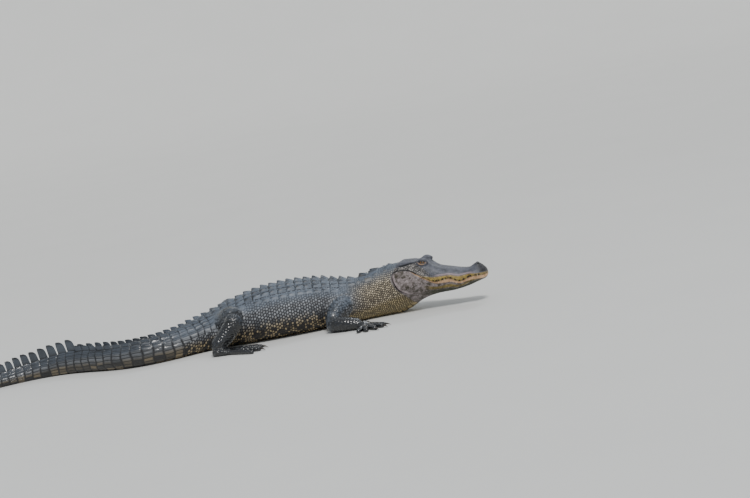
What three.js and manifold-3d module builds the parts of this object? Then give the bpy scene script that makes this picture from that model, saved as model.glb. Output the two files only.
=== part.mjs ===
// A life-size American alligator resting on its belly: head raised, throat down, legs folded at its sides
// and tail laid out behind in a long S. Millimetres, +Z up, snout towards +X, floor at Z = 0.
import * as THREE from "three";
import { mergeVertices } from "three/addons/utils/BufferGeometryUtils.js";
import Module from "manifold-3d";

const wasm = await Module();
wasm.setup();

// Driving dimensions. A station is a distance back along the body from the tip of the snout.
const BODY_LENGTH = 2100;
const NECK_START = 338;
const TORSO_START = 478;
const ROW_PITCH = 31;
const TORSO_ROWS = 17;
const FRONT_ROWS = 8;
const TAIL_START = TORSO_START + ROW_PITCH * TORSO_ROWS;
const PAIRED_WHORLS = 17;
const SINGLE_WHORLS = 22;
const PART_GAP = 0.35;
const MOUTH_GAP = 0.8;
const SNOUT_ROUNDING = 42;
const SNOUT_TIP_ROUNDING = 16;
const TAIL_ROUNDING = 14;
const NEARLY_ONE = 0.999;
const SIDES = [
  ["right", -1],
  ["left", 1],
];

// Forms of the head: where each lies, how far it spreads and how far it rises or stands out. Pairs say
// between which distances a form fades in: from the lip, from the widest level and from the midline.
const NOSE = { station: 34, spread: 20, width: 26, rise: 15 };
const NOSTRIL_RIM = { station: 30, spread: 10, left: 13, width: 8, rise: 5 };
const BROW = { station: 219, before: 34, behind: 26, left: 35, width: 19, rise: 19 };
const SKULL_TABLE = { front: 243, rear: 310, edge: 12, height: 177, rise: 0.05, inner: 34, outer: 52 };
const LIP = { level: 5, width: 6, out: 2.5, inset: 3.2, fades: 215, ends: 250 };
const JAW_MUSCLE = { station: 292, spread: 34, height: 100, width: 26, out: 6 };
const HEAD_FADE = 30;
const LIP_EDGE = [-3, 1];
const ABOVE_MIDDLE = [-4, 12];
const BESIDE_MIDLINE = [6, 22];
const EYE = { station: 218, left: 40, height: 169.5, radius: 12.5 };
const LID = { reach: [21, 16, 13.5], opening: [15, 13, 6.5], outwards: 15, upwards: 5.5 };
const NOSTRIL = { station: 27, left: 12, height: 140, sizes: [7, 3, 7] };
const EAR_SLIT = { station: 275, left: 50, height: 167, sizes: [27, 5, 2.5] };

// Body sections by station: half width, heights of the back, the widest level and the belly above the
// floor, and how square the section is above and below that level.
const SECTIONS = [
  [0, 43, 117, 96, 82, 2.6, 2.4],
  [40, 44, 122, 97, 71, 2.6, 2.4],
  [66, 43, 123, 93, 63, 2.6, 2.4],
  [95, 48, 127, 90, 57, 2.7, 2.4],
  [133, 53, 136, 96, 52, 2.7, 2.3],
  [177, 58, 147, 98, 50, 2.6, 2.2],
  [212, 65, 162, 104, 45, 2.4, 2.0],
  [243, 72, 171, 106, 36, 2.3, 1.8],
  [298, 80, 174, 106, 9, 2.3, 1.8],
  [338, 81, 173, 98, -2, 2.2, 2.0],
  [385, 84, 166, 84, -3, 2.1, 2.3],
  [430, 88, 153, 74, -4, 2.1, 2.5],
  [478, 99, 144, 66, -4, 2.1, 2.6],
  [530, 114, 150, 66, -5, 2.1, 2.7],
  [600, 127, 166, 70, -5, 2.1, 2.8],
  [668, 135, 176, 73, -5, 2.1, 2.8],
  [740, 138, 178, 74, -5, 2.1, 2.8],
  [849, 131, 168, 72, -5, 2.1, 2.8],
  [924, 114, 150, 66, -5, 2.1, 2.7],
  [1005, 91, 126, 58, -4, 2.2, 2.6],
  [1056, 78, 112, 52, -4, 2.4, 2.5],
  [1131, 64, 97, 45, -3, 2.6, 2.4],
  [1205, 55, 88, 41, -3, 2.8, 2.3],
  [1300, 46, 82, 38, -3, 3.0, 2.2],
  [1400, 40, 80, 36, -3, 3.0, 2.2],
  [1528, 33, 79, 33, -2, 2.2, 2.2],
  [1700, 22, 62, 26, -2, 1.8, 2.2],
  [1900, 12, 38, 16, -1, 1.8, 2.2],
  [2056, 5, 14, 6, -1, 2.0, 2.2],
  [2100, 3, 8, 4, 0, 2.0, 2.2],
];

// Which way the body points at each station, in degrees from +X. The head turns to the right.
const HEADINGS = [
  [0, -15],
  [330, -15],
  [480, -2],
  [600, 2],
  [900, 4],
  [1010, 16],
  [1120, 28],
  [1230, 14],
  [1330, -14],
  [1430, -30],
  [1530, -24],
  [1640, -4],
  [1760, 14],
  [1900, 28],
  [2100, 42],
];

// The line of the mouth: two waves along the teeth, then up to the corner and the fold of the jaw joint.
const MOUTH_LINE = [
  [0, 95],
  [48, 97],
  [94, 86],
  [133, 102],
  [177, 98],
  [212, 115],
  [243, 136],
  [265, 149],
  [293, 155],
  [315, 150],
  [338, 140],
];

// A smooth curve through a table's points that never overshoots them.
function curve(points) {
  const last = points.length - 1;
  const slope = (i) => (points[i + 1][1] - points[i][1]) / (points[i + 1][0] - points[i][0]);
  const tangents = points.map((_, i) => {
    if (i === 0) return slope(0);
    if (i === last) return slope(last - 1);
    const [before, after] = [slope(i - 1), slope(i)];
    return before * after > 0 ? (2 * before * after) / (before + after) : 0;
  });
  return (x) => {
    const at = Math.min(Math.max(x, points[0][0]), points[last][0]);
    let i = 0;
    while (i < last - 1 && at > points[i + 1][0]) i += 1;
    const span = points[i + 1][0] - points[i][0];
    const u = (at - points[i][0]) / span;
    const [u2, u3] = [u * u, u * u * u];
    return (
      points[i][1] * (2 * u3 - 3 * u2 + 1) +
      points[i + 1][1] * (3 * u2 - 2 * u3) +
      tangents[i] * span * (u3 - 2 * u2 + u) +
      tangents[i + 1] * span * (u3 - u2)
    );
  };
}

const column = (index) => curve(SECTIONS.map((row) => [row[0], row[index]]));
const section = {
  half: column(1),
  top: column(2),
  mid: column(3),
  low: column(4),
  crown: column(5),
  belly: column(6),
};
const heading = curve(HEADINGS);
const mouth = curve(MOUTH_LINE);

const radians = (degrees) => (degrees * Math.PI) / 180;
const bell = (x) => Math.exp(-x * x);
const ramp = (low, high, x) => {
  const u = Math.min(Math.max((x - low) / (high - low), 0), 1);
  return u * u * (3 - 2 * u);
};
const plateau = (low, high, edge, x) =>
  ramp(low - edge, low + edge, x) * (1 - ramp(high - edge, high + edge, x));
const roundedEnd = (distance, radius) => {
  if (distance >= radius) return 1;
  return Math.sqrt(Math.max(1 - (1 - distance / radius) ** 2, 0));
};

// The spine in plan, walked back from the snout in short steps.
const SPINE_STEP = 2;
const SNOUT_TIP_X = 1013.5;
const SNOUT_TIP_Y = -103;
const spineSteps = [[SNOUT_TIP_X, SNOUT_TIP_Y]];
for (let station = 0; station < BODY_LENGTH; station += SPINE_STEP) {
  const angle = radians(heading(station + SPINE_STEP / 2));
  const [x, y] = spineSteps.at(-1);
  spineSteps.push([x - SPINE_STEP * Math.cos(angle), y - SPINE_STEP * Math.sin(angle)]);
}

// The point at a height above the floor and a distance to the left of the spine, at a station.
function bodyPoint(station, left, height) {
  const at = Math.min(Math.max(station / SPINE_STEP, 0), spineSteps.length - 2 + NEARLY_ONE);
  const i = Math.floor(at);
  const part = at - i;
  const angle = radians(heading(station));
  const x = spineSteps[i][0] * (1 - part) + spineSteps[i + 1][0] * part;
  const y = spineSteps[i][1] * (1 - part) + spineSteps[i + 1][1] * part;
  return new THREE.Vector3(x - left * Math.sin(angle), y + left * Math.cos(angle), height);
}

// The head's forms as a push outwards and upwards of a point of its section.
function headRelief(station, left, height) {
  const side = Math.abs(left);
  let up = NOSE.rise * bell((station - NOSE.station) / NOSE.spread) * bell(side / NOSE.width);
  const rim = bell((side - NOSTRIL_RIM.left) / NOSTRIL_RIM.width);
  up += NOSTRIL_RIM.rise * bell((station - NOSTRIL_RIM.station) / NOSTRIL_RIM.spread) * rim;
  const browSpread = station < BROW.station ? BROW.before : BROW.behind;
  const brow = bell((side - BROW.left) / BROW.width);
  up += BROW.rise * bell((station - BROW.station) / browSpread) * brow;
  const table = SKULL_TABLE.height + SKULL_TABLE.rise * (station - SKULL_TABLE.front);
  const along = plateau(SKULL_TABLE.front, SKULL_TABLE.rear, SKULL_TABLE.edge, station);
  up += (table - height - up) * along * (1 - ramp(SKULL_TABLE.inner, SKULL_TABLE.outer, side));
  const overLip = height - mouth(station);
  const lip = 1 - ramp(LIP.fades, LIP.ends, station);
  let out = LIP.out * lip * bell((overLip - LIP.level) / LIP.width);
  out -= LIP.inset * lip * (1 - ramp(...LIP_EDGE, overLip));
  const muscle = bell((height - JAW_MUSCLE.height) / JAW_MUSCLE.width);
  out += JAW_MUSCLE.out * bell((station - JAW_MUSCLE.station) / JAW_MUSCLE.spread) * muscle;
  const above = ramp(...ABOVE_MIDDLE, height - section.mid(station));
  return [out * Math.sign(left) * ramp(...BESIDE_MIDLINE, side), up * above];
}

// A point of the skin at a station and an angle round it, from the left side over the back.
function skinPoint(station, angle, grow = 0) {
  const tail = roundedEnd(BODY_LENGTH - station, TAIL_ROUNDING);
  const tip = Math.min(roundedEnd(station, SNOUT_TIP_ROUNDING), tail);
  const nose = Math.min(roundedEnd(station, SNOUT_ROUNDING), tail);
  const [c, s] = [Math.cos(angle), Math.sin(angle)];
  const square = s >= 0 ? section.crown(station) : section.belly(station);
  const mid = section.mid(station);
  const reach = s >= 0 ? section.top(station) + grow - mid : mid - section.low(station) + grow;
  let left = (section.half(station) + grow) * nose * Math.sign(c) * Math.abs(c) ** (2 / square);
  let height = mid + reach * tip * Math.sign(s) * Math.abs(s) ** (2 / square);
  if (station < NECK_START) {
    const [out, up] = headRelief(station, left, height);
    const fade = Math.min(nose, 1 - ramp(NECK_START - HEAD_FADE, NECK_START, station));
    left += out * fade;
    height += up * fade;
  }
  return bodyPoint(station, left, Math.max(height, 0));
}

// A closed body through rings of equal size, with a fan over each end.
function loft(rings) {
  const size = rings[0].length;
  const places = rings.flat();
  const faces = [];
  rings.slice(1).forEach((_, r) => {
    for (let i = 0; i < size; i += 1) {
      const [a, b] = [r * size + i, r * size + ((i + 1) % size)];
      faces.push(a, a + size, b, b, a + size, b + size);
    }
  });
  [0, rings.length - 1].forEach((r) => {
    const centre = rings[r].reduce((sum, p) => sum.clone().add(p), new THREE.Vector3()).divideScalar(size);
    places.push(centre);
    for (let i = 0; i < size; i += 1) {
      const [a, b] = [r * size + i, r * size + ((i + 1) % size)];
      faces.push(places.length - 1, r ? b : a, r ? a : b);
    }
  });
  const geometry = new THREE.BufferGeometry().setFromPoints(places);
  return geometry.setIndex(faces);
}

// A closed geometry as a solid that can be joined and cut.
function solid(geometry) {
  const bare = geometry.clone();
  bare.deleteAttribute("normal");
  bare.deleteAttribute("uv");
  const merged = mergeVertices(bare, 1e-3);
  const made = new wasm.Manifold(
    new wasm.Mesh({
      numProp: 3,
      vertProperties: merged.attributes.position.array,
      triVerts: new Uint32Array(merged.index.array),
    }),
  );
  if (made.volume() > 0) return made;
  const turned = merged.index.array.slice().reverse();
  return new wasm.Manifold(
    new wasm.Mesh({
      numProp: 3,
      vertProperties: merged.attributes.position.array,
      triVerts: new Uint32Array(turned),
    }),
  );
}

// Pieces joined into one body, of which only the largest closed surface is kept.
const joined = (pieces) => pieces.reduce((whole, piece) => whole.add(piece));
const largest = (body) => body.decompose().reduce((a, b) => (a.volume() > b.volume() ? a : b));

const model = new THREE.Group();
const hide = new THREE.MeshStandardMaterial({ color: 0x33373a, roughness: 0.55, metalness: 0 });
const jawSkin = new THREE.MeshStandardMaterial({ color: 0x8d8468, roughness: 0.5, metalness: 0 });
const limbSkin = new THREE.MeshStandardMaterial({ color: 0x202529, roughness: 0.3, metalness: 0 });
const eyeGloss = new THREE.MeshStandardMaterial({ color: 0x8a6a24, roughness: 0.08, metalness: 0 });

function surface(body) {
  const mesh = body.getMesh();
  const places = new Float32Array(mesh.numVert * 3);
  for (let i = 0; i < mesh.numVert; i += 1) {
    places.set(mesh.vertProperties.subarray(i * mesh.numProp, i * mesh.numProp + 3), i * 3);
  }
  const geometry = new THREE.BufferGeometry().setAttribute("position", new THREE.BufferAttribute(places, 3));
  return geometry.setIndex(new THREE.BufferAttribute(mesh.triVerts, 1));
}

const bodies = new Map();

function addNode(name, body, material) {
  const tidy = largest(solid(surface(largest(body))));
  bodies.set(name, tidy);
  const node = new THREE.Mesh(surface(tidy), material);
  node.name = name;
  model.add(node);
}

// Cuts a body square to the spine at two stations.
function betweenStations(body, front, back) {
  const cut = (whole, station, sign) => {
    const angle = radians(heading(station));
    const normal = [sign * Math.cos(angle), sign * Math.sin(angle), 0];
    const place = bodyPoint(station, 0, 0);
    return whole.trimByPlane(normal, normal[0] * place.x + normal[1] * place.y);
  };
  return cut(cut(body, front + PART_GAP / 2, -1), back - PART_GAP / 2, 1);
}

// Stations evenly spaced over a length of the body, both of its ends included.
function spread(front, back, step) {
  const count = Math.max(2, Math.round((back - front) / step));
  return Array.from({ length: count + 1 }, (_, i) => front + ((back - front) * i) / count);
}

// A length of the trunk, neck or tail through the sections at its stations.
function trunkLength(stations, sides, grow = 0) {
  const angles = Array.from({ length: sides }, (_, k) => (2 * Math.PI * (k + 0.5)) / sides);
  return solid(loft(stations.map((station) => angles.map((angle) => skinPoint(station, angle, grow)))));
}

// The angle round the section of the back at which the skin lies a distance from the midline.
function backAngle(station, left) {
  const share = Math.min(Math.abs(left) / section.half(station), NEARLY_ONE);
  const angle = Math.acos(share ** (section.crown(station) / 2));
  return left >= 0 ? angle : Math.PI - angle;
}

// The skin's point, its directions backwards and to the left, and its outward direction.
const SLOPE_REACH = 3;

function skinFrame(station, left) {
  const backPoint = (s, l) => skinPoint(s, backAngle(s, l));
  const place = backPoint(station, left);
  const back = backPoint(station + SLOPE_REACH, left).sub(place).normalize();
  const across = backPoint(station, left + SLOPE_REACH).sub(backPoint(station, left - SLOPE_REACH));
  const out = across.normalize().clone().cross(back.clone().negate()).normalize();
  if (out.z < 0) out.negate();
  return { place, back, across, out };
}

// A keeled scute: a low four-sided plate with a ridge that rises towards its rear, its root sunk in the skin.
// Its rim and the ends of its ridge lie at shares of its half length and half width.
const SCUTE_RIM = [
  [-0.94, 0.66],
  [0.94, 0.86],
  [0.94, -0.86],
  [-0.94, -0.66],
];
const SCUTE_RIDGE = { front: -0.6, rear: 0.8, frontRise: 0.4 };
const SCUTE_ROOT_SHARE = 0.94;

function scute(station, left, size) {
  const { place, back, across, out } = skinFrame(station, left);
  const point = (b, l, h) =>
    place
      .clone()
      .addScaledVector(back, (b * size.length) / 2)
      .addScaledVector(across, (l * size.width) / 2)
      .addScaledVector(out, h);
  const root = SCUTE_RIM.map(([b, l]) => point(b * SCUTE_ROOT_SHARE, l * SCUTE_ROOT_SHARE, -size.root));
  const edge = SCUTE_RIM.map(([b, l]) => point(b, l, size.edge));
  const ridge = [
    point(SCUTE_RIDGE.front, 0, size.edge + size.keel * SCUTE_RIDGE.frontRise),
    point(SCUTE_RIDGE.rear, 0, size.edge + size.keel),
  ];
  const faces = [0, 2, 1, 0, 3, 2];
  SCUTE_RIM.forEach((_, i) => {
    const n = (i + 1) % 4;
    faces.push(i, n, i + 4, n, n + 4, i + 4);
  });
  faces.push(4, 5, 8, 5, 9, 8, 5, 6, 9, 6, 7, 9, 7, 8, 9, 7, 4, 8);
  return solid(new THREE.BufferGeometry().setFromPoints([...root, ...edge, ...ridge]).setIndex(faces));
}

// A crest scute: a thin upright blade with a rounded top that leans back, its root sunk in the tail's ridge.
// Its outline gives shares of its length and height, and of its thickness there; the first two are its root.
const BLADE_OUTLINE = [
  [-0.46, 0, 1],
  [0.46, 0, 1],
  [0.5, 0.6, 0.7],
  [0.42, 1, 0.25],
  [-0.05, 0.88, 0.35],
  [-0.36, 0.42, 0.65],
];

function blade(station, left, size) {
  const { place, back } = skinFrame(station, left);
  const up = new THREE.Vector3(0, 0, 1);
  const across = up.clone().cross(back).normalize();
  const wall = (side) =>
    BLADE_OUTLINE.map(([b, h, thick], i) =>
      place
        .clone()
        .addScaledVector(back, b * size.length)
        .addScaledVector(up, i < 2 ? -size.root : h * size.height)
        .addScaledVector(across, (side * size.thick * thick) / 2 + size.lean * h * size.height),
    );
  const count = BLADE_OUTLINE.length;
  const faces = [];
  for (let i = 1; i < count - 1; i += 1) faces.push(0, i, i + 1, count, count + 1 + i, count + i);
  for (let i = 0; i < count; i += 1) {
    const n = (i + 1) % count;
    faces.push(i, i + count, n, n, i + count, n + count);
  }
  return solid(new THREE.BufferGeometry().setFromPoints([...wall(1), ...wall(-1)]).setIndex(faces));
}

// A steady draw between -1 and 1 for each numbered piece, so that like pieces vary as real ones do.
const DRAW = { step: 12.9898, start: 4.1414, scale: 43758.5453 };

function vary(index) {
  const wave = Math.sin(index * DRAW.step + DRAW.start) * DRAW.scale;
  return 2 * (wave - Math.floor(wave)) - 1;
}

// Head: an upper part and a lower jaw, parted along the line of the mouth.
const HEAD_STATIONS = [0.8, 3, 8, 15, 24, 34, 46, 59, 74, 90, 108, 127, 148, 168, 184];
HEAD_STATIONS.push(193, 202, 211, 220, 229, 238, 247, 257, 272, 287, 302, 317, NECK_START - PART_GAP / 2);
const UPPER_HEAD_SIDES = 20;
const LOWER_JAW_SIDES = 12;
const SEARCH_STEPS = 40;

// The angle at which the section crosses a height on its left side.
function angleAtHeight(station, wanted) {
  let [low, high] = [-Math.PI / 2, Math.PI / 2];
  for (let i = 0; i < SEARCH_STEPS; i += 1) {
    const angle = (low + high) / 2;
    if (skinPoint(station, angle).z < wanted) low = angle;
    else high = angle;
  }
  return (low + high) / 2;
}

function headPart(upper, count) {
  const rings = HEAD_STATIONS.map((station) => {
    const lip = mouth(station) + ((upper ? 1 : -1) * MOUTH_GAP) / 2;
    const start = angleAtHeight(station, lip);
    const sweep = upper ? Math.PI - 2 * start : -Math.PI - 2 * start;
    const ring = [];
    for (let i = 0; i <= count; i += 1) {
      const angle = start + (sweep * i) / count;
      const place = skinPoint(station, angle);
      if (i === 0 || i === count) place.z = lip;
      ring.push(place);
    }
    return upper ? ring : ring.reverse();
  });
  return solid(loft(rings));
}

// An egg shape at a place in the head, with half sizes along, across and up.
function egg(station, left, height, sizes, rings) {
  const shape = new THREE.SphereGeometry(1, rings + 4, rings);
  shape.rotateX(Math.PI / 2);
  shape.scale(...sizes);
  shape.rotateZ(radians(heading(station)));
  const place = bodyPoint(station, left, height);
  shape.translate(place.x, place.y, place.z);
  return solid(shape);
}

const TEETH_STATIONS = [14, 30, 48, 66, 83, 100, 117, 134, 152, 170];
const TOOTH = { length: 7, radius: 2.6, root: 4, sides: 4, variation: 0.25 };
const EYE_RINGS = 7;
const SLIT_RINGS = 4;

// A tooth stands at the lip and points down over the lower jaw.
function tooth(station, side, scale, grow = 0) {
  const length = TOOTH.length * scale;
  const shape = new THREE.ConeGeometry(TOOTH.radius * scale + grow, length + TOOTH.root + grow, TOOTH.sides);
  shape.rotateX(-Math.PI / 2);
  const lip = mouth(station) + MOUTH_GAP / 2;
  const angle = angleAtHeight(station, lip + 1);
  const place = skinPoint(station, side > 0 ? angle : Math.PI - angle);
  shape.translate(place.x, place.y, lip + (TOOTH.root - length - grow) / 2);
  return solid(shape);
}

const teeth = (side, grow) =>
  TEETH_STATIONS.map((station, i) => tooth(station, side, 1 + TOOTH.variation * vary(i), grow));
const eyeEgg = (side, sizes) => egg(EYE.station, side * EYE.left, EYE.height, sizes, EYE_RINGS);
const ball = (side, radius) => eyeEgg(side, [radius, radius, radius]);

function buildHead() {
  let upper = headPart(true, UPPER_HEAD_SIDES);
  let lower = headPart(false, LOWER_JAW_SIDES);
  SIDES.forEach(([, side]) => {
    const opening = [EYE.station, side * (EYE.left + LID.outwards), EYE.height + LID.upwards];
    upper = upper.add(eyeEgg(side, LID.reach));
    upper = upper.subtract(ball(side, EYE.radius + PART_GAP));
    upper = upper.subtract(egg(...opening, LID.opening, SLIT_RINGS + 2));
    [NOSTRIL, EAR_SLIT].forEach(({ station, left, height, sizes }) => {
      upper = upper.subtract(egg(station, side * left, height, sizes, SLIT_RINGS));
    });
    upper = joined([upper, ...teeth(side, 0)]);
    lower = teeth(side, PART_GAP).reduce((jaw, hollow) => jaw.subtract(hollow), lower);
  });
  addNode("head_upper", upper, hide);
  addNode("lower_jaw", lower, jawSkin);
  SIDES.forEach(([word, side]) => addNode(`eye_${word}`, ball(side, EYE.radius), eyeGloss));
}

// Neck: four large nuchal scutes in two pairs, and small ones before and beside them. For each pair: its
// station and distance from the midline, and a scute's length, width and keel.
const NECK_SCUTES = [
  [352, 14, 18, 16, 4],
  [352, 34, 16, 15, 3.5],
  [408, 19, 38, 32, 9],
  [448, 19, 36, 31, 10],
  [428, 52, 28, 22, 6],
];
const NECK_SCUTE = { edge: 2, root: 7 };
const NECK_STEP = 17;
const NECK_SIDES = 22;

function buildNeck() {
  const pieces = [trunkLength(spread(NECK_START, TORSO_START, NECK_STEP), NECK_SIDES)];
  NECK_SCUTES.forEach(([station, left, length, width, keel]) => {
    SIDES.forEach(([, side]) => {
      pieces.push(scute(station, side * left, { length, width, keel, ...NECK_SCUTE }));
    });
  });
  addNode("neck", betweenStations(joined(pieces), NECK_START, TORSO_START), hide);
}

// Back: rows of keeled scutes, four across at the ends and six across in the middle. They are full size
// where the body is widest and narrower where it is narrower.
const BACK_SCUTE = { width: 27, first: 15, spacing: 30, keel: 7, keelLoss: 1.2, edge: 1.6, root: 6 };
const FULL_HALF_WIDTH = 135;
const NARROW_FRONT_ROWS = 2;
const NARROW_REAR_ROWS = 3;

function rowOfScutes(row) {
  const station = TORSO_START + ROW_PITCH * (row + 0.5);
  const narrow = row < NARROW_FRONT_ROWS || row >= TORSO_ROWS - NARROW_REAR_ROWS;
  const fullness = section.half(station) / FULL_HALF_WIDTH;
  const made = [];
  for (let k = 0; k < (narrow ? 2 : 3); k += 1) {
    SIDES.forEach(([, side]) => {
      const size = {
        ...BACK_SCUTE,
        length: ROW_PITCH * SCUTE_ROOT_SHARE,
        width: BACK_SCUTE.width * fullness,
        keel: BACK_SCUTE.keel - BACK_SCUTE.keelLoss * k + vary(row * 16 + k * 2 + side),
      };
      made.push(scute(station, side * (BACK_SCUTE.first + BACK_SCUTE.spacing * k) * fullness, size));
    });
  }
  return made;
}

const TORSO_MIDDLE = TORSO_START + ROW_PITCH * FRONT_ROWS;
const TORSO_SIDES = 26;
const TORSO_LENGTHS = [
  ["torso_front", TORSO_START, TORSO_MIDDLE, 0, FRONT_ROWS],
  ["torso_rear", TORSO_MIDDLE, TAIL_START, FRONT_ROWS, TORSO_ROWS],
];

function buildTorso() {
  TORSO_LENGTHS.forEach(([name, front, back, firstRow, lastRow]) => {
    const pieces = [trunkLength(spread(front, back, ROW_PITCH), TORSO_SIDES)];
    for (let row = firstRow; row < lastRow; row += 1) pieces.push(...rowOfScutes(row));
    addNode(name, betweenStations(joined(pieces), front, back), hide);
  });
}

// Tail: rings of scutes that end in a pair of crests, which meet half way and go on as one tall crest.
const PAIRED_RING = { pitch: 28.6, gain: 0.35, fill: 0.95 };
const PAIRED_CREST = { height: 8, rise: 14, thick: 9, root: 9 };
const PAIR_GAP = { share: 0.42, gain: 0.28, closesFrom: 0.7, closes: 0.55 };
const SINGLE_RING = { pitch: 38.5, loss: 0.956, fill: 0.97 };
const SINGLE_CREST = { height: 42, fall: 0.78, bend: 1.4, thick: 8, thinning: 4, root: 12, rootShare: 0.4 };
const CREST_LEAN = 0.04;
const whorls = [];
let whorlStart = TAIL_START;
for (let i = 0; i < PAIRED_WHORLS + SINGLE_WHORLS; i += 1) {
  const paired = i < PAIRED_WHORLS;
  const pitch = paired
    ? PAIRED_RING.pitch + PAIRED_RING.gain * i
    : SINGLE_RING.pitch * SINGLE_RING.loss ** (i - PAIRED_WHORLS);
  whorls.push({ start: whorlStart, pitch, paired, index: i });
  whorlStart += pitch;
}

function crest({ start, pitch, paired, index }) {
  const station = start + pitch / 2;
  if (paired) {
    const rise = index / PAIRED_WHORLS;
    const meeting = 1 - PAIR_GAP.closes * ramp(PAIR_GAP.closesFrom, 1, rise);
    const left = section.half(station) * (PAIR_GAP.share + PAIR_GAP.gain * rise) * meeting;
    const size = {
      ...PAIRED_CREST,
      length: pitch * PAIRED_RING.fill,
      height: PAIRED_CREST.height + PAIRED_CREST.rise * rise + vary(index),
      lean: 0,
    };
    return SIDES.map(([, side]) => blade(station, side * left, size));
  }
  const fall = (index - PAIRED_WHORLS) / SINGLE_WHORLS;
  const size = {
    length: pitch * SINGLE_RING.fill,
    height: SINGLE_CREST.height * (1 - SINGLE_CREST.fall * fall ** SINGLE_CREST.bend) + vary(index),
    thick: SINGLE_CREST.thick - SINGLE_CREST.thinning * fall,
    root: Math.min(SINGLE_CREST.root, section.top(station) * SINGLE_CREST.rootShare),
    lean: CREST_LEAN * vary(index + PAIRED_WHORLS + SINGLE_WHORLS),
  };
  return [blade(station, 0, size)];
}

const TAIL_STEP = 27;
const TAIL_END_STEP = 32;
const TAIL_SIDES = [TORSO_SIDES, 18, 16, 14, 12];
const TAIL_SPLITS = [0, 6, 12, 17, 25, PAIRED_WHORLS + SINGLE_WHORLS];
const TAIL_TIP = 0.6;

function buildTail() {
  TAIL_SPLITS.slice(1).forEach((end, i) => {
    const own = whorls.slice(TAIL_SPLITS[i], end);
    const front = own[0].start;
    const last = end === whorls.length;
    const back = last ? BODY_LENGTH - TAIL_TIP : whorls[end].start;
    const pieces = [
      trunkLength(spread(front, back, last ? TAIL_END_STEP : TAIL_STEP), TAIL_SIDES[i]),
      ...own.flatMap(crest),
    ];
    addNode(`tail_${i + 1}`, betweenStations(joined(pieces), front, last ? BODY_LENGTH + 1 : back), hide);
  });
}

// A limb along a smooth path: ovals that keep their own level direction, stay above the floor and close
// in a rounded end where the limb has one. A rounded end takes up less than half of the length.
const END_STEPS = [0, 0.75];
const END_SHARE = 0.45;
const END_CLEAR = 0.4;
const END_DOT = 0.2;

function limb(stops, { steps, sides, round = [false, false], grow = 0 }) {
  const path = new THREE.CatmullRomCurve3(
    stops.map((stop) => new THREE.Vector3(...stop.at)),
    false,
    "centripetal",
  );
  const length = path.getLength();
  const along = stops.map((_, i) => i / (stops.length - 1));
  const wide = curve(stops.map((stop, i) => [along[i], stop.wide + grow]));
  const thick = curve(stops.map((stop, i) => [along[i], stop.thick + grow]));
  const shares = Array.from({ length: steps + 1 }, (_, i) => i / steps);
  const close = (end) => Math.min((thick(end) + wide(end)) / 2, length * END_SHARE);
  const ends = END_STEPS.map((part) => (1 - Math.cos(part)) * NEARLY_ONE);
  const front = round[0] ? ends.map((part) => (part * close(0)) / length) : [];
  const rear = round[1] ? ends.map((part) => 1 - (part * close(1)) / length).reverse() : [];
  const inner = shares.filter((share) => {
    const clear = END_CLEAR / steps;
    const afterFront = !round[0] || share > close(0) / length + clear;
    return afterFront && (!round[1] || share < 1 - close(1) / length - clear);
  });
  const rings = [...front, ...inner, ...rear].map((share) => {
    const centre = path.getPoint(share);
    const forward = path.getTangent(share);
    const level = new THREE.Vector3(0, 0, 1).cross(forward).normalize();
    const up = forward.clone().cross(level).normalize();
    let scale = 1;
    if (round[0]) scale = Math.min(scale, roundedEnd(share * length + END_DOT, close(0)));
    if (round[1]) scale = Math.min(scale, roundedEnd((1 - share) * length + END_DOT, close(1)));
    const ring = [];
    for (let k = 0; k < sides; k += 1) {
      const angle = (2 * Math.PI * (k + 0.5)) / sides;
      const place = centre
        .clone()
        .addScaledVector(level, scale * wide(share) * Math.cos(angle))
        .addScaledVector(up, scale * thick(share) * Math.sin(angle));
      ring.push(place);
    }
    return ring;
  });
  return solid(loft(rings)).trimByPlane([0, 0, 1], 0);
}

// A digit lies along the floor from the palm, and where it has a claw that curves down to the floor. Half
// widths and half heights are shares of the digit's radius.
const DIGIT = {
  root: [1.05, 1],
  middle: [1, 0.95],
  middleHeight: 0.86,
  end: [0.78, 0.75],
  endHeight: 0.7,
  nail: [0.4, 0.48],
};
const CLAW = { length: 17, nail: 6, tip: 0.7 };
const CLAWED_TOES = 3;

function digit(root, tip, radius, clawed) {
  const way = tip.clone().sub(root).normalize();
  const stop = (place, height, [wide, thick]) => ({
    at: place.clone().setZ(height).toArray(),
    wide: wide * radius,
    thick: thick * radius,
  });
  const endHeight = radius * DIGIT.endHeight;
  const stops = [
    stop(root, root.z, DIGIT.root),
    stop(root.clone().lerp(tip, 1 / 2), radius * DIGIT.middleHeight, DIGIT.middle),
    stop(tip, endHeight, DIGIT.end),
  ];
  if (!clawed) return limb(stops, { steps: 3, sides: 5, round: [false, true] });
  const point = tip.clone().addScaledVector(way, CLAW.length).setZ(CLAW.tip * 2);
  stops.push(stop(tip.clone().addScaledVector(way, CLAW.nail), endHeight, DIGIT.nail));
  stops.push({ at: point.toArray(), wide: CLAW.tip, thick: CLAW.tip });
  return limb(stops, { steps: 6, sides: 5 });
}

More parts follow.
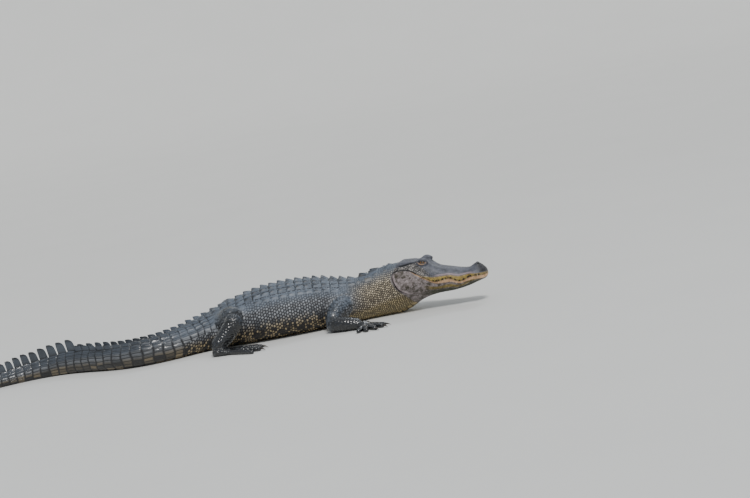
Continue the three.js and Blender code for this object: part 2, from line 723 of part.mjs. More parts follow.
// Each leg: the stops of its upper and lower part from the trunk outwards, and its foot: how long and how
// far to each side the palm is, which way it points, which way each toe turns from that and how far it goes.
const LEGS = [
  {
    side: "right",
    upper: {
      name: "upper_arm",
      stops: [
        { at: [512, -60, 78], wide: 32, thick: 38 },
        { at: [474, -118, 62], wide: 29, thick: 34 },
        { at: [440, -166, 32], wide: 24, thick: 27 },
      ],
    },
    lower: {
      name: "forearm",
      stops: [
        { at: [428, -174, 28], wide: 24, thick: 26 },
        { at: [475, -196, 26], wide: 25, thick: 23 },
        { at: [545, -212, 19], wide: 21, thick: 16 },
      ],
    },
    foot: "forefoot",
    palm: { length: 33, wide: 28, heading: -50 },
    toes: { turns: [30, 10, -12, -34, -58], reach: [52, 64, 66, 60, 48], radius: 9, spacing: 12 },
  },
  {
    side: "left",
    upper: {
      name: "upper_arm",
      stops: [
        { at: [512, 60, 78], wide: 32, thick: 38 },
        { at: [520, 114, 62], wide: 29, thick: 34 },
        { at: [532, 148, 34], wide: 24, thick: 27 },
      ],
    },
    lower: {
      name: "forearm",
      stops: [
        { at: [526, 154, 28], wide: 24, thick: 26 },
        { at: [580, 156, 26], wide: 25, thick: 23 },
        { at: [645, 132, 18], wide: 20, thick: 16 },
      ],
    },
    foot: "forefoot",
    palm: { length: 32, wide: 27, heading: 24 },
    toes: { turns: [26, 8, -13, -36, -60], reach: [50, 60, 62, 56, 46], radius: 8.5, spacing: 11.5 },
  },
  {
    side: "right",
    upper: {
      name: "thigh",
      stops: [
        { at: [48, -34, 66], wide: 44, thick: 40 },
        { at: [84, -100, 93], wide: 43, thick: 44 },
        { at: [117, -151, 127], wide: 33, thick: 36 },
      ],
    },
    lower: {
      name: "shank",
      stops: [
        { at: [125, -165, 117], wide: 31, thick: 32 },
        { at: [78, -190, 64], wide: 28, thick: 29 },
        { at: [26, -214, 24], wide: 23, thick: 20 },
      ],
    },
    foot: "hind_foot",
    palm: { length: 74, wide: 26, heading: -10 },
    toes: { turns: [17, 3, -12, -28], reach: [88, 106, 108, 98], radius: 9.5, spacing: 12 },
  },
  {
    side: "left",
    upper: {
      name: "thigh",
      stops: [
        { at: [44, 40, 66], wide: 44, thick: 40 },
        { at: [74, 102, 88], wide: 43, thick: 44 },
        { at: [100, 154, 114], wide: 33, thick: 36 },
      ],
    },
    lower: {
      name: "shank",
      stops: [
        { at: [108, 168, 104], wide: 31, thick: 32 },
        { at: [62, 190, 60], wide: 28, thick: 29 },
        { at: [8, 208, 24], wide: 23, thick: 20 },
      ],
    },
    foot: "hind_foot",
    palm: { length: 74, wide: 26, heading: -16 },
    toes: { turns: [17, 3, -12, -28], reach: [88, 106, 108, 98], radius: 9.5, spacing: 12 },
  },
];

// A foot: a flat palm or sole, and toes that spread over the floor. The palm's stops give how far it
// reaches back or ahead, the height of its middle line, its share of the full width and its thickness.
const PALM = {
  wrist: { back: 6, height: 14.5, share: 0.76, thick: 15 },
  middle: { height: 12, thick: 13 },
  end: { ahead: 8, height: 9, thick: 9 },
};
const TOE_ROOT = { back: 8, height: 10 };
const OUTER_TOE_SHARE = 0.85;

function foot(leg) {
  const side = leg.side === "right" ? -1 : 1;
  const turn = side * radians(-leg.palm.heading);
  const ahead = new THREE.Vector3(Math.cos(turn), Math.sin(turn), 0);
  const across = new THREE.Vector3(-ahead.y, ahead.x, 0);
  const wrist = new THREE.Vector3(...leg.lower.stops.at(-1).at);
  const along = (distance, height) => wrist.clone().addScaledVector(ahead, distance).setZ(height).toArray();
  const { length, wide } = leg.palm;
  const stop = (distance, { height, share = 1, thick }) => ({
    at: along(distance, height),
    wide: wide * share,
    thick,
  });
  const palm = [
    stop(-PALM.wrist.back, PALM.wrist),
    stop(length / 2, PALM.middle),
    stop(length + PALM.end.ahead, PALM.end),
  ];
  const pieces = [limb(palm, { steps: 3, sides: 8, round: [true, false] })];
  const { turns, reach, radius, spacing } = leg.toes;
  turns.forEach((degrees, i) => {
    const sideways = side * (i - (turns.length - 1) / 2) * spacing;
    const root = new THREE.Vector3(...along(length - TOE_ROOT.back, TOE_ROOT.height));
    root.addScaledVector(across, sideways);
    const angle = turn - side * radians(degrees);
    const way = new THREE.Vector3(Math.cos(angle), Math.sin(angle), 0);
    const tip = root.clone().addScaledVector(way, reach[i]);
    const outer = i === 0 || i === turns.length - 1;
    pieces.push(digit(root, tip, radius * (outer ? OUTER_TOE_SHARE : 1), i < CLAWED_TOES));
  });
  return joined(pieces);
}

function buildLegs() {
  const stations = [
    TORSO_START - ROW_PITCH,
    ...TORSO_LENGTHS.flatMap(([, front, back]) => spread(front, back, ROW_PITCH).slice(0, -1)),
    ...spread(TAIL_START, whorls[TAIL_SPLITS[1]].start, TAIL_STEP),
  ];
  const flank = trunkLength(stations, TORSO_SIDES, PART_GAP);
  LEGS.forEach((leg) => {
    const upper = (grow) => limb(leg.upper.stops, { steps: 5, sides: 10, round: [false, true], grow });
    const lower = (grow) => limb(leg.lower.stops, { steps: 5, sides: 10, round: [true, true], grow });
    const clear = flank.add(upper(PART_GAP));
    addNode(`${leg.upper.name}_${leg.side}`, upper(0).subtract(flank), limbSkin);
    addNode(`${leg.lower.name}_${leg.side}`, lower(0).subtract(clear), limbSkin);
    addNode(`${leg.foot}_${leg.side}`, foot(leg).subtract(clear.add(lower(PART_GAP))), limbSkin);
  });
}

buildHead();
buildNeck();
buildTorso();
buildTail();
buildLegs();

const box = new THREE.Box3().setFromObject(model);
const middle = box.getCenter(new THREE.Vector3());
model.position.set(-middle.x, -middle.y, -box.min.z);

export default model;
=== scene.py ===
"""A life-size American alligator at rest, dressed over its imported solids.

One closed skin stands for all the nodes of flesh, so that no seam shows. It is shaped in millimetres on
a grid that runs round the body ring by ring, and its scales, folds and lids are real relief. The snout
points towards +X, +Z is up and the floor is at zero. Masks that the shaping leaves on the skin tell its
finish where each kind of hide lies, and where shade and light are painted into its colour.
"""

from __future__ import annotations

import logging
import math
import sys
from collections.abc import Sequence
from dataclasses import dataclass, field
from enum import Enum

import bpy
import numpy as np
from mathutils import Matrix, Vector

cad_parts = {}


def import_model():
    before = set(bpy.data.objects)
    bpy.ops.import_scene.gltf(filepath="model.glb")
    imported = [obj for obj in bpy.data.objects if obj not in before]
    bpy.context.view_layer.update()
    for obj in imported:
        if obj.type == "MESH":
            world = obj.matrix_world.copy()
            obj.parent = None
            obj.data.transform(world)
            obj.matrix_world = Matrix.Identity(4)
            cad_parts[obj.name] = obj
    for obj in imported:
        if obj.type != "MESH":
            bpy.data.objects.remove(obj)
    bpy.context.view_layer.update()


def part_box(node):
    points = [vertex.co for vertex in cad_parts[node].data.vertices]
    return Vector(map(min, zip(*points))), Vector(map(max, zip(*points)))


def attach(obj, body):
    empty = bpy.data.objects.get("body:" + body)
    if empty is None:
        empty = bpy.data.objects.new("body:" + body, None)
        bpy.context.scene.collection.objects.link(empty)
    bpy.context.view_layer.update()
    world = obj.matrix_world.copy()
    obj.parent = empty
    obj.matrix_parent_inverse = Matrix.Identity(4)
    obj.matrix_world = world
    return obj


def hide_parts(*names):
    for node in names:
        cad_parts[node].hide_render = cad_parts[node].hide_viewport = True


LOG = logging.getLogger("alligator")
Array = np.ndarray
MM = 0.001
UP = np.array([0.0, 0.0, 1.0])
FAR = 1e9
RIGHT, LEFT = -1.0, 1.0
# dark and under carry painted shade; back, keel and crown carry painted light and shade in part, with the
# hide's own colour
MASKS = (
    *("crown", "fleck", "keel", "back", "tan", "beads", "throat", "wet"),
    *("head", "face", "jaw", "stripe", "under", "lip", "lower_lip", "rim", "dark"),
)


# Lines and profiles


class Curve:
    """A smooth line through a table's points that never overshoots them."""

    def __init__(self, points: Sequence[Sequence[float]]) -> None:
        """Works out the tangents at the table's points.

        Args:
            points: pairs of a place along the line and its value there.
        """
        table = np.array(points, float)
        self.at, self.value = table[:, 0], table[:, 1]
        slope = np.diff(self.value) / np.diff(self.at)
        self.tangent = np.concatenate([slope[:1], np.zeros(len(slope) - 1), slope[-1:]])
        product = slope[:-1] * slope[1:]
        level = np.where(product > 0, slope[:-1] + slope[1:], 1.0)
        self.tangent[1:-1] = np.where(product > 0, 2 * product / level, 0.0)

    def __call__(self, x: Array | float) -> Array:
        """Reads the line.

        Args:
            x: places along it; those past an end read the end's value.

        Returns:
            The values there.
        """
        x = np.clip(np.asarray(x, float), self.at[0], self.at[-1])
        i = np.clip(np.searchsorted(self.at, x, "right") - 1, 0, len(self.at) - 2)
        span = self.at[i + 1] - self.at[i]
        u = (x - self.at[i]) / span
        u2, u3 = u * u, u * u * u
        ends = self.value[i] * (2 * u3 - 3 * u2 + 1) + self.value[i + 1] * (3 * u2 - 2 * u3)
        return ends + span * (self.tangent[i] * (u3 - 2 * u2 + u) + self.tangent[i + 1] * (u3 - u2))


def ramp(low: float | Array, high: float | Array, x: Array | float) -> Array:
    """Returns a smooth step from 0 at low to 1 at high."""
    u = np.clip((x - low) / (high - low), 0, 1)
    return u * u * (3 - 2 * u)


def bell(x: Array | float) -> Array:
    """Returns a smooth hump of height 1 round zero."""
    return np.exp(-np.square(x))


def plateau(low: float, high: float, edge: float, x: Array | float) -> Array:
    """Returns 1 between two limits with smooth edges, and 0 outside."""
    return ramp(low - edge, low + edge, x) * (1 - ramp(high - edge, high + edge, x))


def rounded_end(distance: Array, radius: float) -> Array:
    """Returns how far a quarter round of a radius has opened at a distance from its end."""
    open_share = np.sqrt(np.maximum(1 - (1 - distance / radius) ** 2, 0))
    return np.where(distance >= radius, 1.0, open_share)


def draw(row: Array, column: Array, seed: float) -> Array:
    """Returns a steady draw from 0 to 1 for each numbered piece."""
    wave = np.sin(row * 127.1 + column * 311.7 + seed * 74.7) * 43758.5453
    return wave - np.floor(wave)


# Patterns of scales


@dataclass
class Scales:
    """A pattern of scales over a grid: how each point lies on its own scale."""

    height: Array
    crown: Array
    fleck: Array

    def turned(self, other: Scales, share: Array) -> Scales:
        """Returns this pattern until a share passes a half, then another; only the heights blend."""
        over = share > 0.5
        return Scales(
            self.height * (1 - share) + other.height * share,
            np.where(over, other.crown, self.crown),
            np.where(over, other.fleck, self.fleck),
        )


def pebbles(u: Array, v: Array, jitter: float, seed: float, relief: float, gap: float = 0.2) -> Scales:
    """Rounded scales in staggered rows.

    Args:
        u: place along a row, in scales.
        v: place across the rows, in rows.
        jitter: how far a scale may stray from its place, in scales.
        seed: picks the draw.
        relief: height of a scale in mm.
        gap: width of the groove between scales, as a share of a scale.

    Returns:
        The pattern.
    """
    row = np.floor(v)
    nearest = np.full(u.shape, 9.0)
    second = np.full(u.shape, 9.0)
    fleck = np.zeros(u.shape)
    for down in (-1, 0, 1):
        r = row + down
        shift = 0.5 * (r % 2)
        column = np.floor(u - shift)
        for along in (-1, 0, 1):
            c = column + along
            x = c + 0.5 + shift + jitter * (draw(r, c, seed) - 0.5)
            y = r + 0.5 + jitter * (draw(r, c, seed + 1) - 0.5)
            distance = np.hypot(u - x, v - y)
            closer = distance < nearest
            second = np.where(closer, nearest, np.minimum(second, distance))
            fleck = np.where(closer, draw(r, c, seed + 2), fleck)
            nearest = np.where(closer, distance, nearest)
    open_share = ramp(0.0, gap * 2, second - nearest)
    dome = 1 - 0.55 * np.square(np.minimum(nearest / 0.62, 1))
    crown = np.clip((second - nearest) / 0.8, 0, 1)
    return Scales(relief * open_share * dome * (0.8 + 0.4 * fleck), crown, fleck)


def slabs(
    u: Array, v: Array, seed: float, relief: float, gap: float = 0.12, stagger: float = 0.5
) -> Scales:
    """Flat four-sided scales in rows.

    Args:
        u: place along a row, in scales.
        v: place across the rows, in rows.
        seed: picks the draw.
        relief: height of a scale in mm.
        gap: width of the groove between scales, as a share of a scale.
        stagger: how far every other row is set over, in scales.

    Returns:
        The pattern.
    """
    row = np.floor(v)
    u = u + stagger * (row % 2) + 0.16 * (draw(row, row * 0, seed) - 0.5)
    column = np.floor(u)
    across = np.abs(2 * (u - column) - 1)
    along = np.abs(2 * (v - row) - 1)
    open_share = (1 - ramp(1 - 2 * gap, 1, across)) * (1 - ramp(1 - 2 * gap, 1, along))
    fleck = draw(row, column, seed + 2)
    dome = 1 - 0.25 * across**2 - 0.15 * along**2
    crown = np.clip(2.2 * (1 - np.maximum(across, along)), 0, 1)
    return Scales(relief * open_share * dome * (0.85 + 0.3 * fleck), crown, fleck)


def lumps(places: Array, pitch: float, seed: float, relief: float) -> Scales:
    """Rounded scales scattered in space, which leave no poles or edges on a limb.

    Args:
        places: points in mm.
        pitch: how far apart the scales lie in mm.
        seed: picks the draw.
        relief: height of a scale in mm.

    Returns:
        The pattern.
    """
    cell = np.floor(places / pitch)
    nearest = np.full(places.shape[:-1], 9.0)
    second, fleck = nearest.copy(), nearest * 0
    for step in np.ndindex(3, 3, 3):
        home = cell + np.array(step) - 1
        row, column = home[..., 0] + 71 * home[..., 1], home[..., 2]
        spot = np.stack([draw(row, column, seed + k) for k in range(3)], -1)
        distance = np.linalg.norm(places / pitch - home - 0.2 - 0.6 * spot, axis=-1)
        closer = distance < nearest
        second = np.where(closer, nearest, np.minimum(second, distance))
        fleck = np.where(closer, draw(row, column, seed + 3), fleck)
        nearest = np.where(closer, distance, nearest)
    gap = second - nearest
    dome = 1 - 0.5 * np.square(np.minimum(nearest / 0.7, 1))
    return Scales(relief * ramp(0.0, 0.34, gap) * dome, np.clip(gap / 0.7, 0, 1), fleck)


# The trunk


@dataclass(frozen=True)
class BodyShape:
    """The trunk's sections and the way it points, by station: mm back along the body from the snout."""

    length: float = 2100
    neck_start: float = 338
    torso_start: float = 478
    row_pitch: float = 31
    torso_rows: int = 17
    tail_start: float = 1005
    step: float = 2
    snout_tip: tuple[float, float] = (1013.5, -103)
    eye: tuple[float, float, float] = (218, 40, 169.5)
    eye_radius: float = 12.5
    # station, half width, heights of back, widest level and belly, squareness above and below
    sections: tuple[tuple[float, ...], ...] = (
        *((0, 43, 117, 96, 82, 2.6, 2.4), (40, 44, 122, 97, 71, 2.6, 2.4)),
        *((66, 43, 123, 93, 63, 2.6, 2.4), (95, 48, 127, 90, 57, 2.7, 2.4)),
        *((133, 53, 136, 96, 52, 2.7, 2.3), (177, 58, 147, 98, 50, 2.6, 2.2)),
        *((212, 65, 162, 104, 45, 2.4, 2.0), (243, 72, 171, 106, 36, 2.3, 1.8)),
        *((298, 80, 174, 106, 9, 2.3, 1.8), (338, 81, 173, 98, -2, 2.2, 2.0)),
        *((385, 84, 166, 84, -3, 2.1, 2.3), (430, 88, 153, 74, -4, 2.1, 2.5)),
        *((478, 99, 144, 66, -4, 2.1, 2.6), (530, 114, 150, 66, -5, 2.1, 2.7)),
        *((600, 127, 166, 70, -5, 2.1, 2.8), (668, 135, 176, 73, -5, 2.1, 2.8)),
        *((740, 138, 178, 74, -5, 2.1, 2.8), (849, 131, 168, 72, -5, 2.1, 2.8)),
        *((924, 114, 150, 66, -5, 2.1, 2.7), (1005, 91, 126, 58, -4, 2.2, 2.6)),
        *((1056, 78, 112, 52, -4, 2.4, 2.5), (1131, 64, 97, 45, -3, 2.6, 2.4)),
        *((1205, 55, 88, 41, -3, 2.8, 2.3), (1300, 46, 82, 38, -3, 3.0, 2.2)),
        *((1400, 40, 80, 36, -3, 3.0, 2.2), (1528, 33, 79, 33, -2, 2.2, 2.2)),
        *((1700, 22, 62, 26, -2, 1.8, 2.2), (1900, 12, 38, 16, -1, 1.8, 2.2)),
        *((2056, 5, 14, 6, -1, 2.0, 2.2), (2100, 3, 8, 4, 0, 2.0, 2.2)),
    )
    headings: tuple[tuple[float, float], ...] = (
        *((0, -15), (330, -15), (480, -2), (600, 2), (900, 4), (1010, 16), (1120, 28), (1230, 14)),
        *((1330, -14), (1430, -30), (1530, -24), (1640, -4), (1760, 14), (1900, 28), (2100, 42)),
    )
    mouth_line: tuple[tuple[float, float], ...] = (
        *((0, 95), (48, 97), (94, 86), (133, 102), (177, 98), (212, 115)),
        *((243, 136), (265, 149), (293, 155), (315, 150), (338, 140)),
    )
    snout_rounding: float = 42
    snout_tip_rounding: float = 16
    tail_rounding: float = 14
    head_fade: float = 30


@dataclass(frozen=True)
class Mound:
    """A soft mound on the head, in mm: its height, its middle, and how far it spreads each way."""

    height: float
    station: float
    left: float
    ahead: float
    behind: float
    beside: float

    def rise(self, station: Array, side: Array) -> Array:
        """Returns how far it lifts the skin at stations and distances beside the spine."""
        along = np.where(station < self.station, self.ahead, self.behind)
        return self.height * bell((station - self.station) / along) * bell((side - self.left) / self.beside)


@dataclass(frozen=True)
class HeadForms:
    """The raised forms of the head in mm: mounds, the flat skull table, the lips and the jaw's muscle."""

    nose: Mound = Mound(15, 34, 0, 20, 20, 26)
    nostril: Mound = Mound(3.5, 30, 13, 10, 10, 8)
    eye: Mound = Mound(19, 219, 35, 34, 26, 19)
    table_height: float = 177
    table_slope: float = 0.05
    table_ends: tuple[float, float] = (243, 310)
    table_fade: float = 12
    table_sides: tuple[float, float] = (34, 52)
    lip_ends: tuple[float, float] = (215, 250)
    lip_out: float = 2.5
    overbite: float = 3.2
    jaw_muscle: float = 6

    def lift(self, station: Array, side: Array, height: Array) -> Array:
        """How far the skin of the head's top moves upwards.

        Args:
            station: mm back from the snout.
            side: mm beside the spine.
            height: mm above the floor.

        Returns:
            The lift in mm.
        """
        up = self.nose.rise(station, side) + self.nostril.rise(station, side) + self.eye.rise(station, side)
        table = self.table_height + self.table_slope * (station - self.table_ends[0])
        flat = plateau(*self.table_ends, self.table_fade, station) * (1 - ramp(*self.table_sides, side))
        return up + (table - height - up) * flat

    def bulge(self, station: Array, height: Array, over_lip: Array) -> Array:
        """How far the skin of the head's sides moves outwards.

        Args:
            station: mm back from the snout.
            height: mm above the floor.
            over_lip: mm above the line of the mouth.

        Returns:
            The bulge in mm.
        """
        lip = 1 - ramp(*self.lip_ends, station)
        out = self.lip_out * lip * bell((over_lip - 5) / 6)
        out = out - self.overbite * lip * (1 - ramp(-3, 1, over_lip))
        return out + self.jaw_muscle * bell((station - 292) / 34) * bell((height - 100) / 26)


class Body:
    """The smooth trunk, before its relief."""

    forms = HeadForms()

    def __init__(self, shape: BodyShape) -> None:
        """Walks the spine back from the snout.

        Args:
            shape: the trunk's sizes.
        """
        self.shape = shape
        columns = [Curve([(row[0], row[k]) for row in shape.sections]) for k in range(1, 7)]
        self.half, self.top, self.mid, self.low, self.square_above, self.square_below = columns
        self.heading = Curve(shape.headings)
        self.mouth = Curve(shape.mouth_line)
        count = int(shape.length / shape.step) + 1
        angle = np.radians(self.heading(np.arange(count - 1) * shape.step + shape.step / 2))
        x = shape.snout_tip[0] - np.cumsum(np.insert(np.cos(angle), 0, 0)) * shape.step
        y = shape.snout_tip[1] - np.cumsum(np.insert(np.sin(angle), 0, 0)) * shape.step
        self.spine = np.stack([x, y], -1)

    def place(self, station: Array, left: Array, height: Array) -> Array:
        """Turns places along, beside and above the spine into points.

        Args:
            station: mm back from the snout.
            left: mm to the left of the spine.
            height: mm above the floor.

        Returns:
            The points in mm, before the shift into the shared frame.
        """
        station, left, height = np.broadcast_arrays(station, left, height)
        at = station / self.shape.step
        steps = np.arange(len(self.spine))
        angle = np.radians(self.heading(station))
        x = np.interp(at, steps, self.spine[:, 0]) - left * np.sin(angle)
        y = np.interp(at, steps, self.spine[:, 1]) + left * np.cos(angle)
        return np.stack([x, y, height], -1)

    def ways(self, station: float) -> tuple[Array, Array]:
        """Returns the level directions back along the spine and to its left at a station."""
        angle = math.radians(float(self.heading(station)))
        back = np.array([-math.cos(angle), -math.sin(angle), 0])
        return back, np.array([-math.sin(angle), math.cos(angle), 0])

    def head_relief(self, station: Array, left: Array, height: Array) -> tuple[Array, Array]:
        """The head's raised forms: nose, eye mounds, skull table, lips and jaw muscle.

        Args:
            station: mm back from the snout.
            left: mm to the left of the spine.
            height: mm above the floor.

        Returns:
            How far the skin moves outwards and upwards.
        """
        side = np.abs(left)
        above = ramp(-4, 12, height - self.mid(station))
        up = self.forms.lift(station, side, height)
        out = self.forms.bulge(station, height, height - self.mouth(station))
        return out * np.sign(left) * ramp(6, 22, side), up * above

    def skin(self, station: Array, angle: Array) -> tuple[Array, Array]:
        """The smooth skin at stations and angles round the section, from the left side over the back.

        Args:
            station: mm back from the snout.
            angle: radians round the section.

        Returns:
            How far the skin lies to the left of the spine and above the floor.
        """
        shape = self.shape
        tail_end = rounded_end(shape.length - station, shape.tail_rounding)
        tip = np.minimum(rounded_end(station, shape.snout_tip_rounding), tail_end)
        nose = np.minimum(rounded_end(station, shape.snout_rounding), tail_end)
        cosine, sine = np.cos(angle), np.sin(angle)
        square = np.where(sine >= 0, self.square_above(station), self.square_below(station))
        mid = self.mid(station)
        reach = np.where(sine >= 0, self.top(station) - mid, mid - self.low(station))
        left = self.half(station) * nose * np.sign(cosine) * np.abs(cosine) ** (2 / square)
        height = mid + reach * tip * np.sign(sine) * np.abs(sine) ** (2 / square)
        out, up = self.head_relief(station, left, height)
        start = shape.neck_start
        fade = np.minimum(nose, 1 - ramp(start - shape.head_fade, start, station)) * (station < start)
        return left + out * fade, height + up * fade

    def outside(self, points: Array) -> Array:
        """How far points lie outside the smooth trunk, roughly, in mm.

        Args:
            points: places in mm, before the shift into the shared frame.

        Returns:
            The distances, negative inside.
        """
        near = np.full(len(points), FAR)
        station = np.zeros(len(points))
        for k in range(0, len(self.spine), 3):
            distance = np.hypot(points[:, 0] - self.spine[k, 0], points[:, 1] - self.spine[k, 1])
            station = np.where(distance < near, k * self.shape.step, station)
            near = np.minimum(near, distance)
        angle = np.radians(self.heading(station))
        way = points - self.place(station, 0, 0)
        left = way[:, 1] * np.cos(angle) - way[:, 0] * np.sin(angle)
        mid = self.mid(station)
        rise = points[:, 2] - mid
        reach = np.where(rise >= 0, self.top(station) - mid, mid - self.low(station))
        square = np.where(rise >= 0, self.square_above(station), self.square_below(station))
        x, y = np.abs(left) / self.half(station), np.abs(rise) / reach
        size = (x**square + y**square) ** (1 / square)
        return (size - 1) * np.hypot(left, rise) / np.maximum(size, 0.05)


@dataclass
class Length:
    """One length of the skin, with its own fineness: rings every step mm, of a number of points round."""

    front: float
    back: float
    step: float
    around: int


@dataclass
class SkinGrid:
    """A length of skin as rings of points: where each lies, and the lines that its relief follows."""

    station: Array
    left: Array
    height: Array
    across: Array
    over: Array
    rise: Array
    arc: Array
    place: Array
    normal: Array
    masks: dict[str, Array] = field(default_factory=dict)


class SkinBuilder:
    """Lays the trunk's rings of points."""

    dense: int = 361

    def __init__(self, body: Body) -> None:
        """Keeps the trunk that the rings lie on."""
        self.body = body

    def grid(self, length: Length) -> SkinGrid:
        """Spaces the points of each ring evenly above and below the line of the mouth.

        Args:
            length: the length of skin to lay.

        Returns:
            Its grid, with smooth places and normals and no masks yet.
        """
        rings = max(2, round((length.back - length.front) / length.step)) + 1
        station = np.linspace(length.front, length.back, rings)[:, None]
        angles = np.linspace(-math.pi / 2, math.pi / 2, self.dense)[None, :]
        left, height = self.body.skin(station, angles)
        travel = np.hypot(np.diff(left, axis=1), np.diff(height, axis=1))
        arc = np.concatenate([np.zeros((rings, 1)), np.cumsum(travel, axis=1)], 1)
        share = self._mouth_share(station[:, 0], height, arc)
        quarter = length.around // 4
        steps = np.arange(quarter) / quarter
        side = np.empty((rings, 2 * quarter + 1))
        arcs = np.empty_like(side)
        for r in range(rings):
            total = arc[r, -1]
            lip = share[r] * total
            wanted = np.concatenate([steps * lip, lip + np.append(steps, 1.0) * (total - lip)])
            side[r] = np.interp(wanted, arc[r], angles[0])
            arcs[r] = wanted
        lips = (share * arc[:, -1])[:, None]
        angle = np.concatenate([side, math.pi - side[:, -2:0:-1]], 1)
        arcs = np.concatenate([arcs, arcs[:, -2:0:-1]], 1)
        left, height = self.body.skin(station, angle)
        total = arc[:, -1][:, None]
        sign = np.where(np.arange(angle.shape[1]) <= 2 * quarter, 1.0, -1.0)
        place = self.body.place(station, left, height)
        place[..., 2] = np.maximum(place[..., 2], 0)
        return SkinGrid(
            station=np.broadcast_to(station, left.shape),
            left=left,
            height=height,
            across=(total - arcs) * sign,
            over=arcs - lips,
            rise=arcs / total,
            arc=arcs,
            place=place,
            normal=ring_normals(place),
        )

    def _mouth_share(self, station: Array, height: Array, arc: Array) -> Array:
        """Works out how much of each half ring lies below the line of the mouth.

        Args:
            station: the rings' stations.
            height: heights of the closely spaced points of each half ring.
            arc: their distances round the half ring from the belly.

        Returns:
            The shares, which behind the head ease to a half.
        """
        shape = self.body.shape
        at_mouth = np.empty(len(station))
        for r, s in enumerate(station):
            wanted = self.body.mouth(min(s, shape.neck_start))
            rising = np.maximum.accumulate(height[r])
            at_mouth[r] = np.interp(wanted, rising, arc[r]) / arc[r, -1]
        ease = ramp(shape.neck_start, shape.torso_start + 60, station)
        return at_mouth * (1 - ease) + 0.5 * ease


def ring_normals(place: Array) -> Array:
    """Outward directions of a grid of closed rings.

    Args:
        place: points, ring by ring from the snout, each ring from the belly up the left side.

    Returns:
        A unit direction for each point.
    """
    along = np.gradient(place, axis=0)
    around = np.roll(place, -1, axis=1) - np.roll(place, 1, axis=1)
    normal = np.cross(along, around)
    size = np.linalg.norm(normal, axis=-1, keepdims=True)
    return normal / np.maximum(size, 1e-9)


# The hide's relief


@dataclass(frozen=True)
class ScuteSizes:
    """The plated rows of the back."""

    spacing: float = 30
    first: float = 15
    half_width: float = 13.4
    keel: float = 9
    keel_loss: float = 1.4
    edge: float = 2.4
    full_half: float = 135


@dataclass(frozen=True)
class NapeScute:
    """One pair of plates on the neck."""

    station: float
    left: float
    length: float
    width: float
    keel: float


NAPE = (
    NapeScute(350, 12, 15, 14, 4),
    NapeScute(353, 29, 16, 15, 4.5),
    NapeScute(356, 47, 14, 14, 3.5),
    NapeScute(372, 20, 12, 12, 2.5),
    NapeScute(408, 19, 38, 32, 10),
    NapeScute(448, 19, 36, 31, 11),
    NapeScute(428, 52, 28, 22, 7),
    NapeScute(394, 46, 15, 13, 4),
    NapeScute(466, 48, 15, 13, 4),
)


def plate(u: Array, v: Array, edge: float, keel: Array | float) -> tuple[Array, Array]:
    """A keeled plate.

    Args:
        u: place along it, -1 at its front edge to 1 at its rear.
        v: place across it, -1 to 1.
        edge: height of its rim in mm.
        keel: height of its keel over that in mm.

    Returns:
        Its height, and how much a point lies on it.
    """
    on = (1 - ramp(0.82, 0.98, np.abs(u))) * (1 - ramp(0.84, 1.0, np.abs(v) + 0.1 * np.square(u)))
    ridge = np.maximum(1 - np.abs(v) / 0.8, 0) ** 2
    climb = (0.25 + 0.75 * ramp(-0.9, 0.6, u)) * (1 - ramp(0.7, 0.96, u))
    return on * (edge * (1 - 0.3 * np.square(v)) + keel * ridge * climb), on


@dataclass
class BackPlates:
    """Rows of keeled plates over the torso, and the nape's plates."""

    sizes: ScuteSizes = field(default_factory=ScuteSizes)

    def dress(self, grid: SkinGrid, shape: BodyShape, half: Curve, base: Scales) -> tuple[Scales, Array]:
        """Sets the plates over a pattern of small scales.

        Args:
            grid: the skin.
            shape: the trunk's sizes.
            half: the trunk's half width by station.
            base: the small scales between and beside the plates.

        Returns:
            The pattern with its plates, and how much each point lies on a keel.
        """
        sizes = self.sizes
        full = half(grid.station) / sizes.full_half
        rows = (grid.station - shape.torso_start) / shape.row_pitch
        row = np.floor(rows)
        side = np.abs(grid.across) / full
        column = np.floor((side - sizes.first) / sizes.spacing + 0.5)
        most = np.where((row < 2) | (row > shape.torso_rows - 4), 2, 3)
        hand = column + 10 * np.sign(grid.across)
        lot = draw(row, hand, 3.0)
        u = (2 * (rows - row) - 1 + 0.08 * (lot - 0.5)) * (1.0 + 0.06 * draw(row, hand, 8.0))
        v = (side - sizes.first - column * sizes.spacing) / sizes.half_width
        v = (v + 0.1 * (draw(row, hand, 9.0) - 0.5)) * (1 + 0.08 * lot)
        u, v = u * np.where(column >= most, 1.12, 1.0), v * np.where(column >= most, 1.28, 1.0)
        tall = (sizes.keel - sizes.keel_loss * column) * (0.8 + 0.4 * lot)
        tall = np.where(column >= most, tall * 0.45, tall)
        height, on = plate(u, v, sizes.edge, tall)
        there = (rows >= 0) * (rows < shape.torso_rows) * (column <= most)
        there = there * np.where(column >= most, lot > 0.25, True)
        height, on = height * there, on * there
        # keel: where the finish darkens the plates, partly the keels' own near-black, partly painted shade
        # on their rear halves
        keel = on * bell(v / 0.3) * ramp(-0.6, 0.7, u)
        plated = (rows >= 0) * (rows < shape.torso_rows) * (column <= most - 0.5)
        fleck = np.where(on > 0.2, lot, base.fleck)
        for scute in NAPE:
            for sign in (RIGHT, LEFT):
                u = (grid.station - scute.station) / (scute.length / 2)
                v = (grid.across * sign - scute.left) / (scute.width / 2)
                near = (np.abs(u) < 1) * (np.abs(v) < 1)
                rise, over = plate(u, v, 2.4, scute.keel)
                height = np.maximum(height, rise * near)
                on = np.maximum(on, over * near)
                keel = np.maximum(keel, over * near * bell(v / 0.35))
        dressed = Scales(
            np.maximum(base.height * (1 - on), height),
            np.maximum(base.crown * (1 - on) * (1 - 0.7 * plated), on),
            fleck,
        )
        return dressed, keel


